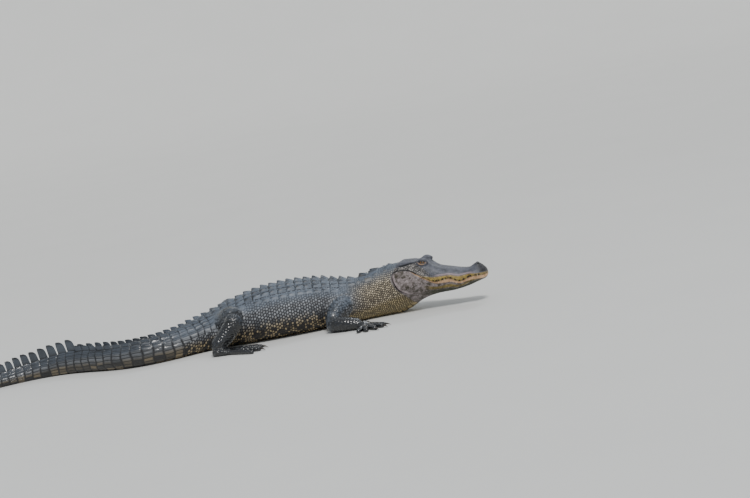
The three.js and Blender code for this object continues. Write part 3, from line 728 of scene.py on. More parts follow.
@dataclass(frozen=True)
class TailSizes:
    """The rings of scales round the tail and the crests that they end in."""

    paired: int = 17
    single: int = 22
    first_pitch: float = 28.6
    pitch_gain: float = 0.35
    single_pitch: float = 38.5
    pitch_loss: float = 0.956

    def starts(self, tail_start: float) -> Array:
        """Returns the stations at which the rings start, with the last one's end."""
        paired = [self.first_pitch + self.pitch_gain * i for i in range(self.paired)]
        single = [self.single_pitch * self.pitch_loss**i for i in range(self.single)]
        return tail_start + np.cumsum([0.0, *paired, *single])


class Hide:
    """Works out the relief and the masks of each length of skin."""

    pitch_along = Curve([(300, 7.4), (430, 7.8), (540, 8.6), (1040, 9.4)])
    pitch_across = Curve([(300, 7.8), (430, 8.4), (560, 10.6), (1040, 11.4)])
    belly_pitch = (21.0, 19.0)
    tail_columns = ((6, 14), (12, 12), (20, 10), (28, 8))
    tail_end_columns = 6
    keeled_rings = 26

    # by height in mm: the stations where the head's hide and the jaw's muscle end
    head_end = Curve(
        [(-10, 236), (30, 266), (66, 291), (82, 305), (100, 322), (136, 334), (160, 322), (190, 312)]
    )
    jaw_edge = Curve([(40, 190), (62, 228), (66, 262), (82, 296), (100, 314), (136, 326), (160, 326)])

    # by station, in mm: heights of the ear slit, the face's top, the jaw's fold and the throat's colour
    slit_line = Curve([(236, 175), (251, 174), (269, 172), (291, 169), (312, 168)])
    face_line = Curve([(165, 112), (190, 128), (215, 150), (240, 168)])
    fold_line = Curve([(236, 128), (245, 138), (269, 152), (298, 157), (320, 152), (336, 140)])
    throat_line = Curve(
        [(0, 40), (180, 40), (240, 56), (300, 70), (360, 60), (430, 44), (500, 34), (560, 22), (700, 12)]
    )

    # by station, in mm round the skin from the line of the mouth
    lip_height = Curve([(0, 9), (40, 10), (94, 20), (133, 14), (177, 18), (212, 10), (250, 2)])
    lower_depth = Curve([(0, 15), (48, 13), (94, 9), (133, 13), (177, 8), (212, 5), (262, 3)])
    under_line = Curve([(0, -15), (60, -19), (97, -24), (124, -35), (177, -33), (220, -48), (250, -70)])

    pits = (26, 38, 56, 65, 81, 96, 110, 125, 143, 154, 168, 176, 186)
    pores = (96, 105, 115, 124, 135)
    nostril = (27, 12)

    def __init__(self, body: Body) -> None:
        """Keeps the trunk, its rings of tail scales and its rows of small scales."""
        self.body = body
        self.shape = body.shape
        self.whorls = TailSizes().starts(self.shape.tail_start)
        self.every = np.arange(0, self.shape.length + 1)
        self.rows = np.cumsum(1 / self.pitch_along(self.every))

    def dress(self, grid: SkinGrid) -> Array:
        """Works out one length's masks.

        Args:
            grid: the length of skin, whose masks are filled in.

        Returns:
            The height of the relief over the smooth skin in mm.
        """
        s, across, rise = grid.station, grid.across, grid.rise
        girth = grid.arc.max(axis=1, keepdims=True)
        row = np.interp(s, self.every, self.rows)
        small = pebbles(across / self.pitch_across(s), row, 0.45, 5.0, 1.7, 0.17)
        belly = slabs(across / self.belly_pitch[0], s / self.belly_pitch[1], 7.0, 1.0)
        scales = small.turned(belly, 1 - ramp(0.13, 0.17, rise))
        plates, keel = BackPlates().dress(grid, self.shape, self.body.half, scales)
        tail, tail_keel = self._tail(grid, girth)
        upper = 1 - ramp(0.5, 0.62, rise)
        on_tail = ramp(-1, 1, s - self.shape.tail_start - 150 * upper * ramp(0.12, 0.2, rise))
        scales = plates.turned(tail, on_tail)
        keel = keel * (1 - on_tail) + tail_keel * on_tail
        head, head_masks = self._head(grid)
        on_head = 1 - ramp(-3, 3, s - self.head_end(grid.height))
        scales = scales.turned(head, on_head)
        on_neck = 1 - ramp(430, 520, s + 0.25 * (np.abs(across) - 120))
        masks = {name: np.zeros_like(s) for name in MASKS}
        masks.update({name: value * on_head for name, value in head_masks.items()})
        masks["crown"] = scales.crown
        masks["fleck"] = scales.fleck
        masks["keel"] = keel
        # back: from the low sides up to the back; the low sides' darker tone is partly their own colour,
        # partly painted shade under the body
        masks["back"] = ramp(0.22, 0.82, rise)
        line = self.throat_line(s)
        under_line = 1 - ramp(line - 12, line + 12, grid.height)
        masks["throat"] = under_line * (1 - ramp(520, 640, s)) * ramp(200, 250, s)
        masks["beads"] = on_neck * (1 - on_head) * (1 - ramp(0.62, 0.86, rise))
        masks["wet"] = 0.55 * ramp(1060, 1260, s)
        masks["tan"] = plateau(0.14, 0.52, 0.08, rise) * ramp(450, 560, s)
        grid.masks = masks
        return scales.height

    def _tail(self, grid: SkinGrid, girth: Array) -> tuple[Scales, Array]:
        """Rings of four-sided scales round the tail.

        Args:
            grid: the skin.
            girth: length of half of each ring.

        Returns:
            The pattern, and how much each point lies on a keel.
        """
        s = grid.station
        ring = np.interp(s, self.whorls, np.arange(len(self.whorls)))
        inner = (ring > 0.1) * (ring < len(self.whorls) - 1.2)
        ring = ring + 0.05 * np.sin(grid.across / 9 + s / 31) * inner
        limits, counts = zip(*self.tail_columns)
        columns = np.select([ring < limit for limit in limits], counts, self.tail_end_columns)
        u = np.abs(grid.across) / girth * columns + 0.08 * np.sin(s / 13 + grid.across / 15)
        pattern = slabs(u, ring, 13.0, 1.6, 0.1, 0.0)
        row = np.floor(u)
        v = 2 * (u - row) - 1
        along = 2 * (ring - np.floor(ring)) - 1
        keeled = (row < columns * 0.45) * (ring < self.keeled_rings)
        rise, on = plate(along, v, 0.0, 2.6)
        height = pattern.height + rise * keeled
        return Scales(height, pattern.crown, 0.3 + 0.35 * pattern.fleck), on * keeled * bell(v / 0.3)

    def _head(self, grid: SkinGrid) -> tuple[Scales, dict[str, Array]]:
        """The hide of the head: lips, tooth gaps, nostrils, ear slits and the jaw's folds, with painted
        shade in its grooves, pits, slits, folds and creases.

        Args:
            grid: the skin.

        Returns:
            The pattern, and the head's own masks.
        """
        s, z, over, side = grid.station, grid.height, grid.over, np.abs(grid.left)
        on = s < 345
        fine = pebbles(grid.across / 5.6, s / 5.8, 0.8, 21.0, 0.7, 0.2)
        broad = pebbles(grid.across / 8.5, s / 9.5, 0.9, 23.0, 0.55, 0.12)
        slit_z = self.slit_line(s)
        face_top = np.where(s < 240, self.face_line(s), slit_z - 2)
        top = ramp(-3, 3, z - face_top + 40 * (1 - ramp(150, 175, s)) - 4 * (side <= 28))
        pattern = fine.turned(broad, top)
        mouth_on = 1 - ramp(236, 250, s)
        groove = bell(over / 1.1) * mouth_on * ramp(2, 10, s)
        # dark collects painted shade in the mouth's groove, the tooth pits, the ear slits, the cheek fold,
        # the jaw crease and the nostrils; the pores and the snout's tip are dark as well
        dark = 0.9 * groove
        height = pattern.height - 2.0 * groove
        lip_height = self.lip_height(s)
        in_lip = plateau(0.0, 1.0, 0.16, over / lip_height) * (1 - ramp(190, 245, s))
        rim = bell((over - lip_height - 4.0) / 3.0) * plateau(45, 176, 14, s)
        height = height + 0.9 * rim + 0.6 * in_lip
        for k, station in enumerate(self.pits):
            lot = 0.75 + 0.5 * draw(k, 5.0, 1.0)
            from_pit = np.hypot((s - station) / 3.6, (over - 4.2) / 3.1) / lot
            pit = (1 - ramp(0.55, 1.25, from_pit)) * (over > 0)
            height = height - 2.8 * pit
            dark = np.maximum(dark, pit)
        for station in self.pores:
            pore = bell((s - station) / 2.4) * bell((over + 15) / 2.0)
            height = height - 0.8 * pore
            dark = np.maximum(dark, 0.8 * pore)
        lower = plateau(-1.0, 0.0, 0.16, over / self.lower_depth(s)) * (1 - ramp(245, 268, s))
        height = height + 0.9 * lower * bell((over + 4) / 4)
        slit = bell((z - slit_z) / 2.6) * plateau(238, 308, 6, s) * (side > 28)
        height = height - 4.5 * slit
        dark = np.maximum(dark, 0.9 * slit)
        fold_z = self.fold_line(s)
        fold = bell((z - fold_z) / 2.4) * plateau(240, 328, 6, s)
        height = height - 3.4 * fold + 1.4 * bell((z - fold_z + 6) / 4.0) * plateau(250, 326, 10, s)
        dark = np.maximum(dark, 0.9 * fold)
        edge = s - self.jaw_edge(z)
        jaw_rim = plateau(70, 140, 14, z)
        crease = bell((edge - 3.0) / 3.0) * jaw_rim
        height = height - 4.2 * crease + 2.8 * bell((edge + 4) / 3.8) * jaw_rim
        dark = np.maximum(dark, 0.85 * crease)
        for sign in (RIGHT, LEFT):
            from_hole = np.hypot((s - self.nostril[0]) / 6.5, (grid.left * sign - self.nostril[1]) / 4.0)
            hole = (1 - ramp(0.5, 1.0, from_hole)) * (z > 118)
            height = height - 4.5 * hole + 1.0 * bell((from_hole - 1.4) / 0.4) * (z > 118)
            dark = np.maximum(dark, hole)
        snout_tip = (1 - ramp(6, 34, s - 0.35 * over)) * ramp(6, 14, over)
        under = over / -self.under_line(s)
        on_jaw = (1 - ramp(-6, 2, over)) * (1 - ramp(236, 262, s))
        masks = {
            "lip": in_lip * (1 - 0.7 * snout_tip) * (0.75 + 0.25 * ramp(30, 60, s)),
            "rim": np.maximum(rim, 0.7 * bell((edge + 4) / 2.5) * jaw_rim),
            "lower_lip": lower,
            "head": np.ones_like(s),
            "face": ramp(180, 225, s) * (1 - ramp(-4, 2, z - face_top)) * (top <= 0.5),
            "jaw": np.maximum(on_jaw, (1 - ramp(fold_z - 6, fold_z, z)) * ramp(232, 256, s)),
            "stripe": plateau(-1.0, -0.62, 0.1, under) * plateau(30, 210, 20, s),
            # under: the underside of the lower jaw, its own olive darkened by painted shade beneath the
            # head
            "under": (1 - ramp(-1.2, -1.0, under)) * (1 - ramp(196, 236, s)),
            "dark": np.maximum(dark, 0.8 * snout_tip),
        }
        crown = 1 - (1 - pattern.crown) * np.where(top > 0.5, 0.5, 1.0)
        return Scales(height, crown, pattern.fleck), {name: value * on for name, value in masks.items()}


class Lids:
    """Raises the eye mounds to lids and opens them; sizes in mm, heights for the right eye and the left."""

    reach = (21, 16)
    rise = (17, 13.5)
    opening = (15.5, 6.2)
    around = 34
    inner_edge = -12
    softness = 3
    drop = 3.4
    tilt = 0.1
    sink = 2.2
    brow_height = 1.2

    def __init__(self, body: Body) -> None:
        """Keeps where the eyes lie."""
        self.body = body
        self.station, self.left, self.height = body.shape.eye
        self.radius = body.shape.eye_radius

    def shape(self, grid: SkinGrid) -> None:
        """Fits the skin over the eyes and opens it, in place, and paints shade into the opening, on the
        upper lid's rim and before the brow.

        Args:
            grid: the head's skin, already raised by its relief.
        """
        for sign, rise in zip((RIGHT, LEFT), self.rise):
            centre = self.body.place(self.station, sign * self.left, self.height)
            back, beside = self.body.ways(self.station)
            way = grid.place - centre
            a, l, h = way @ back, way @ (sign * beside), way[..., 2]
            distance = np.linalg.norm(way, axis=-1)
            size = np.sqrt((a / self.reach[0]) ** 2 + (l / self.reach[1]) ** 2 + (h / rise) ** 2)
            near = (distance < self.around) * (l > self.inner_edge)
            more = distance / np.maximum(size, 0.05) - distance
            gain = (more + np.sqrt(more * more + self.softness**2) - 1.2) / 2 * ramp(-7, -1, more) * near
            radius = distance + gain
            scale = radius / np.maximum(distance, 1e-6)
            a, l, h = a * scale, l * scale, h * scale
            slant = h - self.drop - self.tilt * a
            half = np.where(slant > 0, 0.85, 1.0) * self.opening[1]
            tall = half * np.maximum(1 - (a / self.opening[0]) ** 2, 0.02) ** 0.6
            gap = np.maximum(np.abs(slant) / tall, np.abs(a) / self.opening[0])
            outer = (l > 0) * near
            open_share = (1 - ramp(0.86, 1.04, gap)) * outer
            rim = bell((gap - 1.22) / 0.2) * outer * (radius < 26)
            brow = bell((gap - 1.6) / 0.5) * outer * (slant > 0) * (radius < 30)
            opened = (radius - self.radius + self.sink) * open_share
            wanted = radius + 1.0 * rim + self.brow_height * brow - opened
            scale = wanted / np.maximum(distance, 1e-6)
            grid.place = np.where(near[..., None], centre + way * scale[..., None], grid.place)
            grid.masks["lower_lip"] = np.maximum(grid.masks["lower_lip"], 0.9 * rim * (slant < 0))
            # painted shade: dark inside the eye's opening, along the upper lid's rim and before the brow
            shade = np.maximum(0.9 * open_share, 0.55 * rim * (slant > 0))
            front = bell((a + 24) / 9) * bell((h + 1) / 9) * (distance < 40)
            shade = np.maximum(shade, 0.75 * front)
            grid.masks["dark"] = np.maximum(grid.masks["dark"], shade)


# Meshes


@dataclass
class Shell:
    """A closed mesh in the making, with its masks."""

    places: Array
    faces: Array
    masks: dict[str, Array]

    @staticmethod
    def from_rings(places: Array, masks: dict[str, Array | float]) -> Shell:
        """Closes rings of points by a fan at each end.

        Args:
            places: the points ring by ring.
            masks: their masks; one that is left out is zero.

        Returns:
            The shell.
        """
        rings, around = places.shape[:2]
        count = rings * around
        ends = np.stack([places[0].mean(axis=0), places[-1].mean(axis=0)])
        everything = np.concatenate([places.reshape(-1, 3), ends])
        first = np.arange(around)
        caps = [fan(first, count, True), fan(first + count - around, count + 1, False)]
        filled = {}
        for name in MASKS:
            values = np.broadcast_to(masks.get(name, 0.0), (rings, around)).ravel()
            filled[name] = np.append(values, [values[0], values[-1]])
        faces = np.concatenate([ring_faces(rings, around), *caps])
        return Shell(everything, outward(everything, faces), filled)

    @staticmethod
    def joined(shells: Sequence[Shell]) -> Shell:
        """Puts shells side by side in one mesh.

        Args:
            shells: the shells.

        Returns:
            One shell that holds them all.
        """
        offsets = np.cumsum([0, *(len(shell.places) for shell in shells)])
        return Shell(
            np.concatenate([shell.places for shell in shells]),
            np.concatenate([shell.faces + offset for shell, offset in zip(shells, offsets)]),
            {name: np.concatenate([shell.masks[name] for shell in shells]) for name in MASKS},
        )


def ring_faces(rings: int, around: int, start: int = 0) -> Array:
    """Triangles between rings of equal size.

    Args:
        rings: number of rings.
        around: points of a ring.
        start: number of the first ring's first point.

    Returns:
        The triangles, which face outwards on a body ringed from the snout, each ring up its left side.
    """
    r, i = np.meshgrid(np.arange(rings - 1), np.arange(around), indexing="ij")
    n = (i + 1) % around
    a, b, c, d = r * around + i, r * around + n, (r + 1) * around + n, (r + 1) * around + i
    quads = np.stack([a, d, c, a, c, b], -1).reshape(-1, 3)
    return quads + start


def zipper(first: Array, second: Array) -> Array:
    """Triangles between two rings of different sizes that start at the same side.

    Args:
        first: numbers of the ring nearer the snout.
        second: numbers of the ring behind it.

    Returns:
        The triangles.
    """
    faces = []
    i = j = 0
    while i < len(first) or j < len(second):
        if (i + 0.5) / len(first) < (j + 0.5) / len(second):
            faces.append((first[i], second[j % len(second)], first[(i + 1) % len(first)]))
            i += 1
        else:
            faces.append((first[i % len(first)], second[j], second[(j + 1) % len(second)]))
            j += 1
    return np.array(faces)


def fan(ring: Array, centre: int, forward: bool) -> Array:
    """Triangles from a ring to a point that closes it.

    Args:
        ring: numbers of the ring.
        centre: number of the closing point.
        forward: whether the closing point lies towards the snout.

    Returns:
        The triangles.
    """
    following = np.roll(ring, -1)
    middle = np.full(len(ring), centre)
    columns = [middle, ring, following] if forward else [middle, following, ring]
    return np.stack(columns, -1)


class Trunk:
    """Head, neck, torso and tail as one closed skin."""

    lengths: tuple[Length, ...] = (
        Length(0.6, 336, 0.9, 600),
        Length(337.5, 1040, 1.5, 460),
        Length(1042, 2099.6, 2.2, 280),
    )

    snout_fade = (1, 8)
    tail_fade = (2080, 2098)

    def __init__(self, body: Body) -> None:
        """Keeps the smooth trunk."""
        self.body = body
        self.hide = Hide(body)

    def build(self) -> Shell:
        """Lays, raises and closes the skin.

        Returns:
            The closed shell in mm.
        """
        builder = SkinBuilder(self.body)
        grids = [builder.grid(length) for length in self.lengths]
        for grid in grids:
            height = self.hide.dress(grid)
            fade = ramp(*self.snout_fade, grid.station) * (1 - ramp(*self.tail_fade, grid.station))
            grid.place = grid.place + grid.normal * (height * fade)[..., None]
        Lids(self.body).shape(grids[0])
        for grid in grids:
            grid.place[..., 2] = np.maximum(grid.place[..., 2], 0)
        return self._closed(grids)

    def _closed(self, grids: Sequence[SkinGrid]) -> Shell:
        """Joins the lengths and closes both ends.

        Args:
            grids: the lengths of skin from the snout back.

        Returns:
            The shell.
        """
        shells = []
        for grid in grids:
            masks = {name: grid.masks[name].ravel() for name in MASKS}
            shells.append(Shell(grid.place.reshape(-1, 3), ring_faces(*grid.station.shape), masks))
        whole = Shell.joined(shells)
        starts = np.cumsum([0, *(grid.station.size for grid in grids)])
        fronts = [np.arange(grid.station.shape[1]) + start for grid, start in zip(grids, starts)]
        backs = [ring + grid.station.size - len(ring) for grid, ring in zip(grids, fronts)]
        count = len(whole.places)
        joints = [zipper(back, front) for back, front in zip(backs, fronts[1:])]
        caps = [fan(fronts[0], count, True), fan(backs[-1], count + 1, False)]
        ends = [whole.places[ring].mean(axis=0) for ring in (fronts[0], backs[-1])]
        filled = {
            name: np.append(values, [values[fronts[0]].mean(), values[backs[-1]].mean()])
            for name, values in whole.masks.items()
        }
        return Shell(np.vstack([whole.places, ends]), np.concatenate([whole.faces, *joints, *caps]), filled)


# Limbs


@dataclass(frozen=True)
class Stop:
    """A place on a limb's path, with its half width and half thickness there, in mm."""

    at: Sequence[float]
    wide: float
    thick: float


class Tube:
    """A limb, toe or other round part along a smooth path, closed by rounded ends."""

    def __init__(self, stops: Sequence[Stop], around: int, step: float) -> None:
        """Samples the path.

        Args:
            stops: places on the path from the trunk outwards.
            around: points of a ring.
            step: distance between rings in mm.
        """
        points = np.array([stop.at for stop in stops], float)
        self.centre, self.along = self._path(points, step)
        marks = np.linspace(0, 1, len(stops))
        self.wide = Curve([(m, stop.wide) for m, stop in zip(marks, stops)])(self.along)
        self.thick = Curve([(m, stop.thick) for m, stop in zip(marks, stops)])(self.along)
        self.length = float(np.sum(np.linalg.norm(np.diff(self.centre, axis=0), axis=1)))
        tangent = np.gradient(self.centre, axis=0)
        tangent /= np.linalg.norm(tangent, axis=1, keepdims=True)
        level = np.cross(UP, tangent)
        self.level = level / np.linalg.norm(level, axis=1, keepdims=True)
        self.up = np.cross(tangent, self.level)
        self.tangent = tangent
        self.around = around

    @staticmethod
    def _path(points: Array, step: float) -> tuple[Array, Array]:
        """Runs a centripetal curve through points.

        Args:
            points: the places it passes.
            step: distance between samples in mm.

        Returns:
            The samples, and how far along the path each lies from 0 to 1.
        """
        padded = np.vstack([2 * points[0] - points[1], points, 2 * points[-1] - points[-2]])
        knots = np.concatenate([[0], np.cumsum(np.linalg.norm(np.diff(padded, axis=0), axis=1) ** 0.5)])
        fine = []
        for i in range(1, len(padded) - 2):
            t = np.linspace(knots[i], knots[i + 1], 60, endpoint=i == len(padded) - 3)[:, None]
            line = list(padded[i - 1 : i + 3])
            k = knots[i - 1 : i + 3]
            for low, span in ((0, 1), (0, 2), (1, 1)):
                shares = [(t - start) / (end - start) for start, end in zip(k[low:], k[low + span :])]
                line = [(1 - share) * p + share * q for share, p, q in zip(shares, line, line[1:])]
            fine.append(line[0])
        fine = np.concatenate(fine)
        travel = np.concatenate([[0], np.cumsum(np.linalg.norm(np.diff(fine, axis=0), axis=1))])
        count = max(6, round(travel[-1] / step))
        share = np.linspace(0, 1, count)
        wanted = share * travel[-1]
        return np.stack([np.interp(wanted, travel, fine[:, k]) for k in range(3)], -1), share

    def close(self, end: int) -> float:
        """Returns the length of the rounding at an end: 0 for the first, -1 for the last."""
        return min((self.wide[end] + self.thick[end]) / 2, self.length * 0.45)

    def outside(self, points: Array) -> Array:
        """How far points lie outside the tube, roughly, in mm.

        Args:
            points: places in mm.

        Returns:
            The distances, negative inside.
        """
        best = np.full(len(points), FAR)
        for k in range(0, len(self.centre), max(1, len(self.centre) // 24)):
            way = points - self.centre[k]
            wide, thick = self.wide[k], self.thick[k]
            x, y, z = way @ self.level[k], way @ self.up[k], way @ self.tangent[k]
            size = np.sqrt((x / wide) ** 2 + (y / thick) ** 2 + (z / min(wide, thick)) ** 2)
            length = np.linalg.norm(way, axis=1)
            best = np.minimum(best, length * (1 - 1 / np.maximum(size, 0.05)))
        return best

    def rings(self, ends: tuple[bool, bool]) -> tuple[Array, Array, Array]:
        """Lays the tube's rings.

        Args:
            ends: whether each end is rounded over its own thickness.

        Returns:
            The points ring by ring, how far along in mm each ring lies, and the angle of each point.
        """
        along = self.along * self.length
        scale = np.ones(len(along))
        if ends[0]:
            scale = np.minimum(scale, rounded_end(along + 0.15, self.close(0)))
        if ends[1]:
            scale = np.minimum(scale, rounded_end(self.length - along + 0.15, self.close(-1)))
        angle = 2 * math.pi * (np.arange(self.around) + 0.5) / self.around
        across = (scale * self.wide)[:, None, None] * np.cos(angle)[None, :, None] * self.level[:, None]
        upward = (scale * self.thick)[:, None, None] * np.sin(angle)[None, :, None] * self.up[:, None]
        return self.centre[:, None] + across + upward, along, angle


def outward(places: Array, faces: Array) -> Array:
    """Turns a closed shell's triangles to face outwards.

    Args:
        places: its points.
        faces: its triangles, all alike in their turn.

    Returns:
        The triangles.
    """
    a, b, c = (places[faces[:, k]] for k in range(3))
    volume = np.einsum("ij,ij->i", a, np.cross(b, c)).sum()
    return faces if volume > 0 else faces[:, ::-1]


@dataclass(frozen=True)
class Leg:
    """One leg from the trunk outwards, in mm and degrees, with its toes from the inner one."""

    side: float
    upper: tuple[Stop, ...]
    lower: tuple[Stop, ...]
    heading: float
    palm: float
    palm_wide: float
    turns: tuple[float, ...]
    reach: tuple[float, ...]
    radius: float
    spacing: float


HIND_TOES = {"turns": (17, 3, -12, -28), "reach": (88, 106, 108, 98), "radius": 9.5, "spacing": 12}
LEGS = (
    Leg(
        side=-1,
        upper=(Stop((512, -60, 78), 32, 38), Stop((474, -118, 62), 29, 34), Stop((440, -166, 32), 24, 27)),
        lower=(Stop((428, -174, 28), 24, 26), Stop((475, -196, 26), 25, 23), Stop((545, -212, 19), 21, 16)),
        heading=-50,
        palm=33,
        palm_wide=28,
        turns=(30, 10, -12, -34, -58),
        reach=(52, 64, 66, 60, 48),
        radius=9,
        spacing=12,
    ),
    Leg(
        side=1,
        upper=(Stop((512, 60, 78), 32, 38), Stop((520, 114, 62), 29, 34), Stop((532, 148, 34), 24, 27)),
        lower=(Stop((526, 154, 28), 24, 26), Stop((580, 156, 26), 25, 23), Stop((645, 132, 18), 20, 16)),
        heading=24,
        palm=32,
        palm_wide=27,
        turns=(26, 8, -13, -36, -60),
        reach=(50, 60, 62, 56, 46),
        radius=8.5,
        spacing=11.5,
    ),
    Leg(
        side=-1,
        upper=(Stop((48, -34, 66), 44, 40), Stop((84, -100, 93), 43, 44), Stop((117, -151, 127), 33, 36)),
        lower=(Stop((125, -165, 117), 31, 32), Stop((78, -190, 64), 28, 29), Stop((26, -214, 24), 23, 20)),
        heading=-10,
        palm=74,
        palm_wide=26,
        **HIND_TOES,
    ),
    Leg(
        side=1,
        upper=(Stop((44, 40, 66), 44, 40), Stop((74, 102, 88), 43, 44), Stop((100, 154, 114), 33, 36)),
        lower=(Stop((108, 168, 104), 31, 32), Stop((62, 190, 60), 28, 29), Stop((8, 208, 24), 23, 20)),
        heading=-16,
        palm=74,
        palm_wide=26,
        **HIND_TOES,
    ),
)


def blended(shell: Shell, others: Sequence, reach: float) -> None:
    """Swells a shell where it runs into others, so that they meet in a soft fold, in place.

    Args:
        shell: the shell.
        others: bodies that can say how far points lie outside them.
        reach: distance over which the swelling fades in mm.
    """
    near = np.full(len(shell.places), FAR)
    for other in others:
        near = np.minimum(near, np.abs(other.outside(shell.places)))
    swell = reach / 4 * np.square(np.maximum(1 - near / reach, 0))
    moved = swell > 0
    normal = point_normals(shell.places, shell.faces)
    shell.places[moved] += normal[moved] * swell[moved, None]
    shell.places[:, 2] = np.maximum(shell.places[:, 2], 0)


def point_normals(places: Array, faces: Array) -> Array:
    """Outward directions at a mesh's points.

    Args:
        places: its points.
        faces: its triangles.

    Returns:
        A unit direction for each point.
    """
    a, b, c = (places[faces[:, k]] for k in range(3))
    face = np.cross(b - a, c - a)
    total = np.zeros_like(places)
    for k in range(3):
        for axis in range(3):
            total[:, axis] += np.bincount(faces[:, k], face[:, axis], len(places))
    return total / np.maximum(np.linalg.norm(total, axis=1, keepdims=True), 1e-12)


@dataclass(frozen=True)
class Spike:
    """A claw or tooth: where it starts, how far it reaches, how far its tip bends over, its half sizes."""

    start: Array
    reach: Array
    bend: Array
    wide: float
    thick: float
    blunt: float = 0.7


@dataclass(frozen=True)
class Segment:
    """How one part of a leg is laid and scaled, in mm where it isn't a share."""

    around: int
    step: float
    pitch: float
    relief: float
    fold: float
    rounded: tuple[bool, bool] = (True, True)
    broad_from: float | None = None
    plain_ends: float = 0
    wet: float = 1.0
    wetter: float = 0.0
    wet_span: tuple[float, float] = (0.0, 1.0)
    # back and back_above: how much of the flank's paler tone a part takes over the dark low tone, more on
    # its upper side: painted light on top, painted shade below
    back: float = 0.9
    back_above: float = 0.0


UPPER = Segment(
    *(110, 1.6, 9.0, 1.5, 26, (False, True)),
    wet=0.1,
    wetter=0.5,
    wet_span=(0.35, 1.0),
    back=0.55,
    back_above=0.35,
)
LOWER = Segment(110, 1.5, 10.5, 1.9, 16, broad_from=0.3, wet=0.55, wetter=0.45, wet_span=(0.0, 0.3))
PALM = Segment(100, 1.3, 9.0, 1.3, 12)
TOE = Segment(44, 1.2, 8.0, 1.0, 8, (False, True), broad_from=0.05, plain_ends=6)


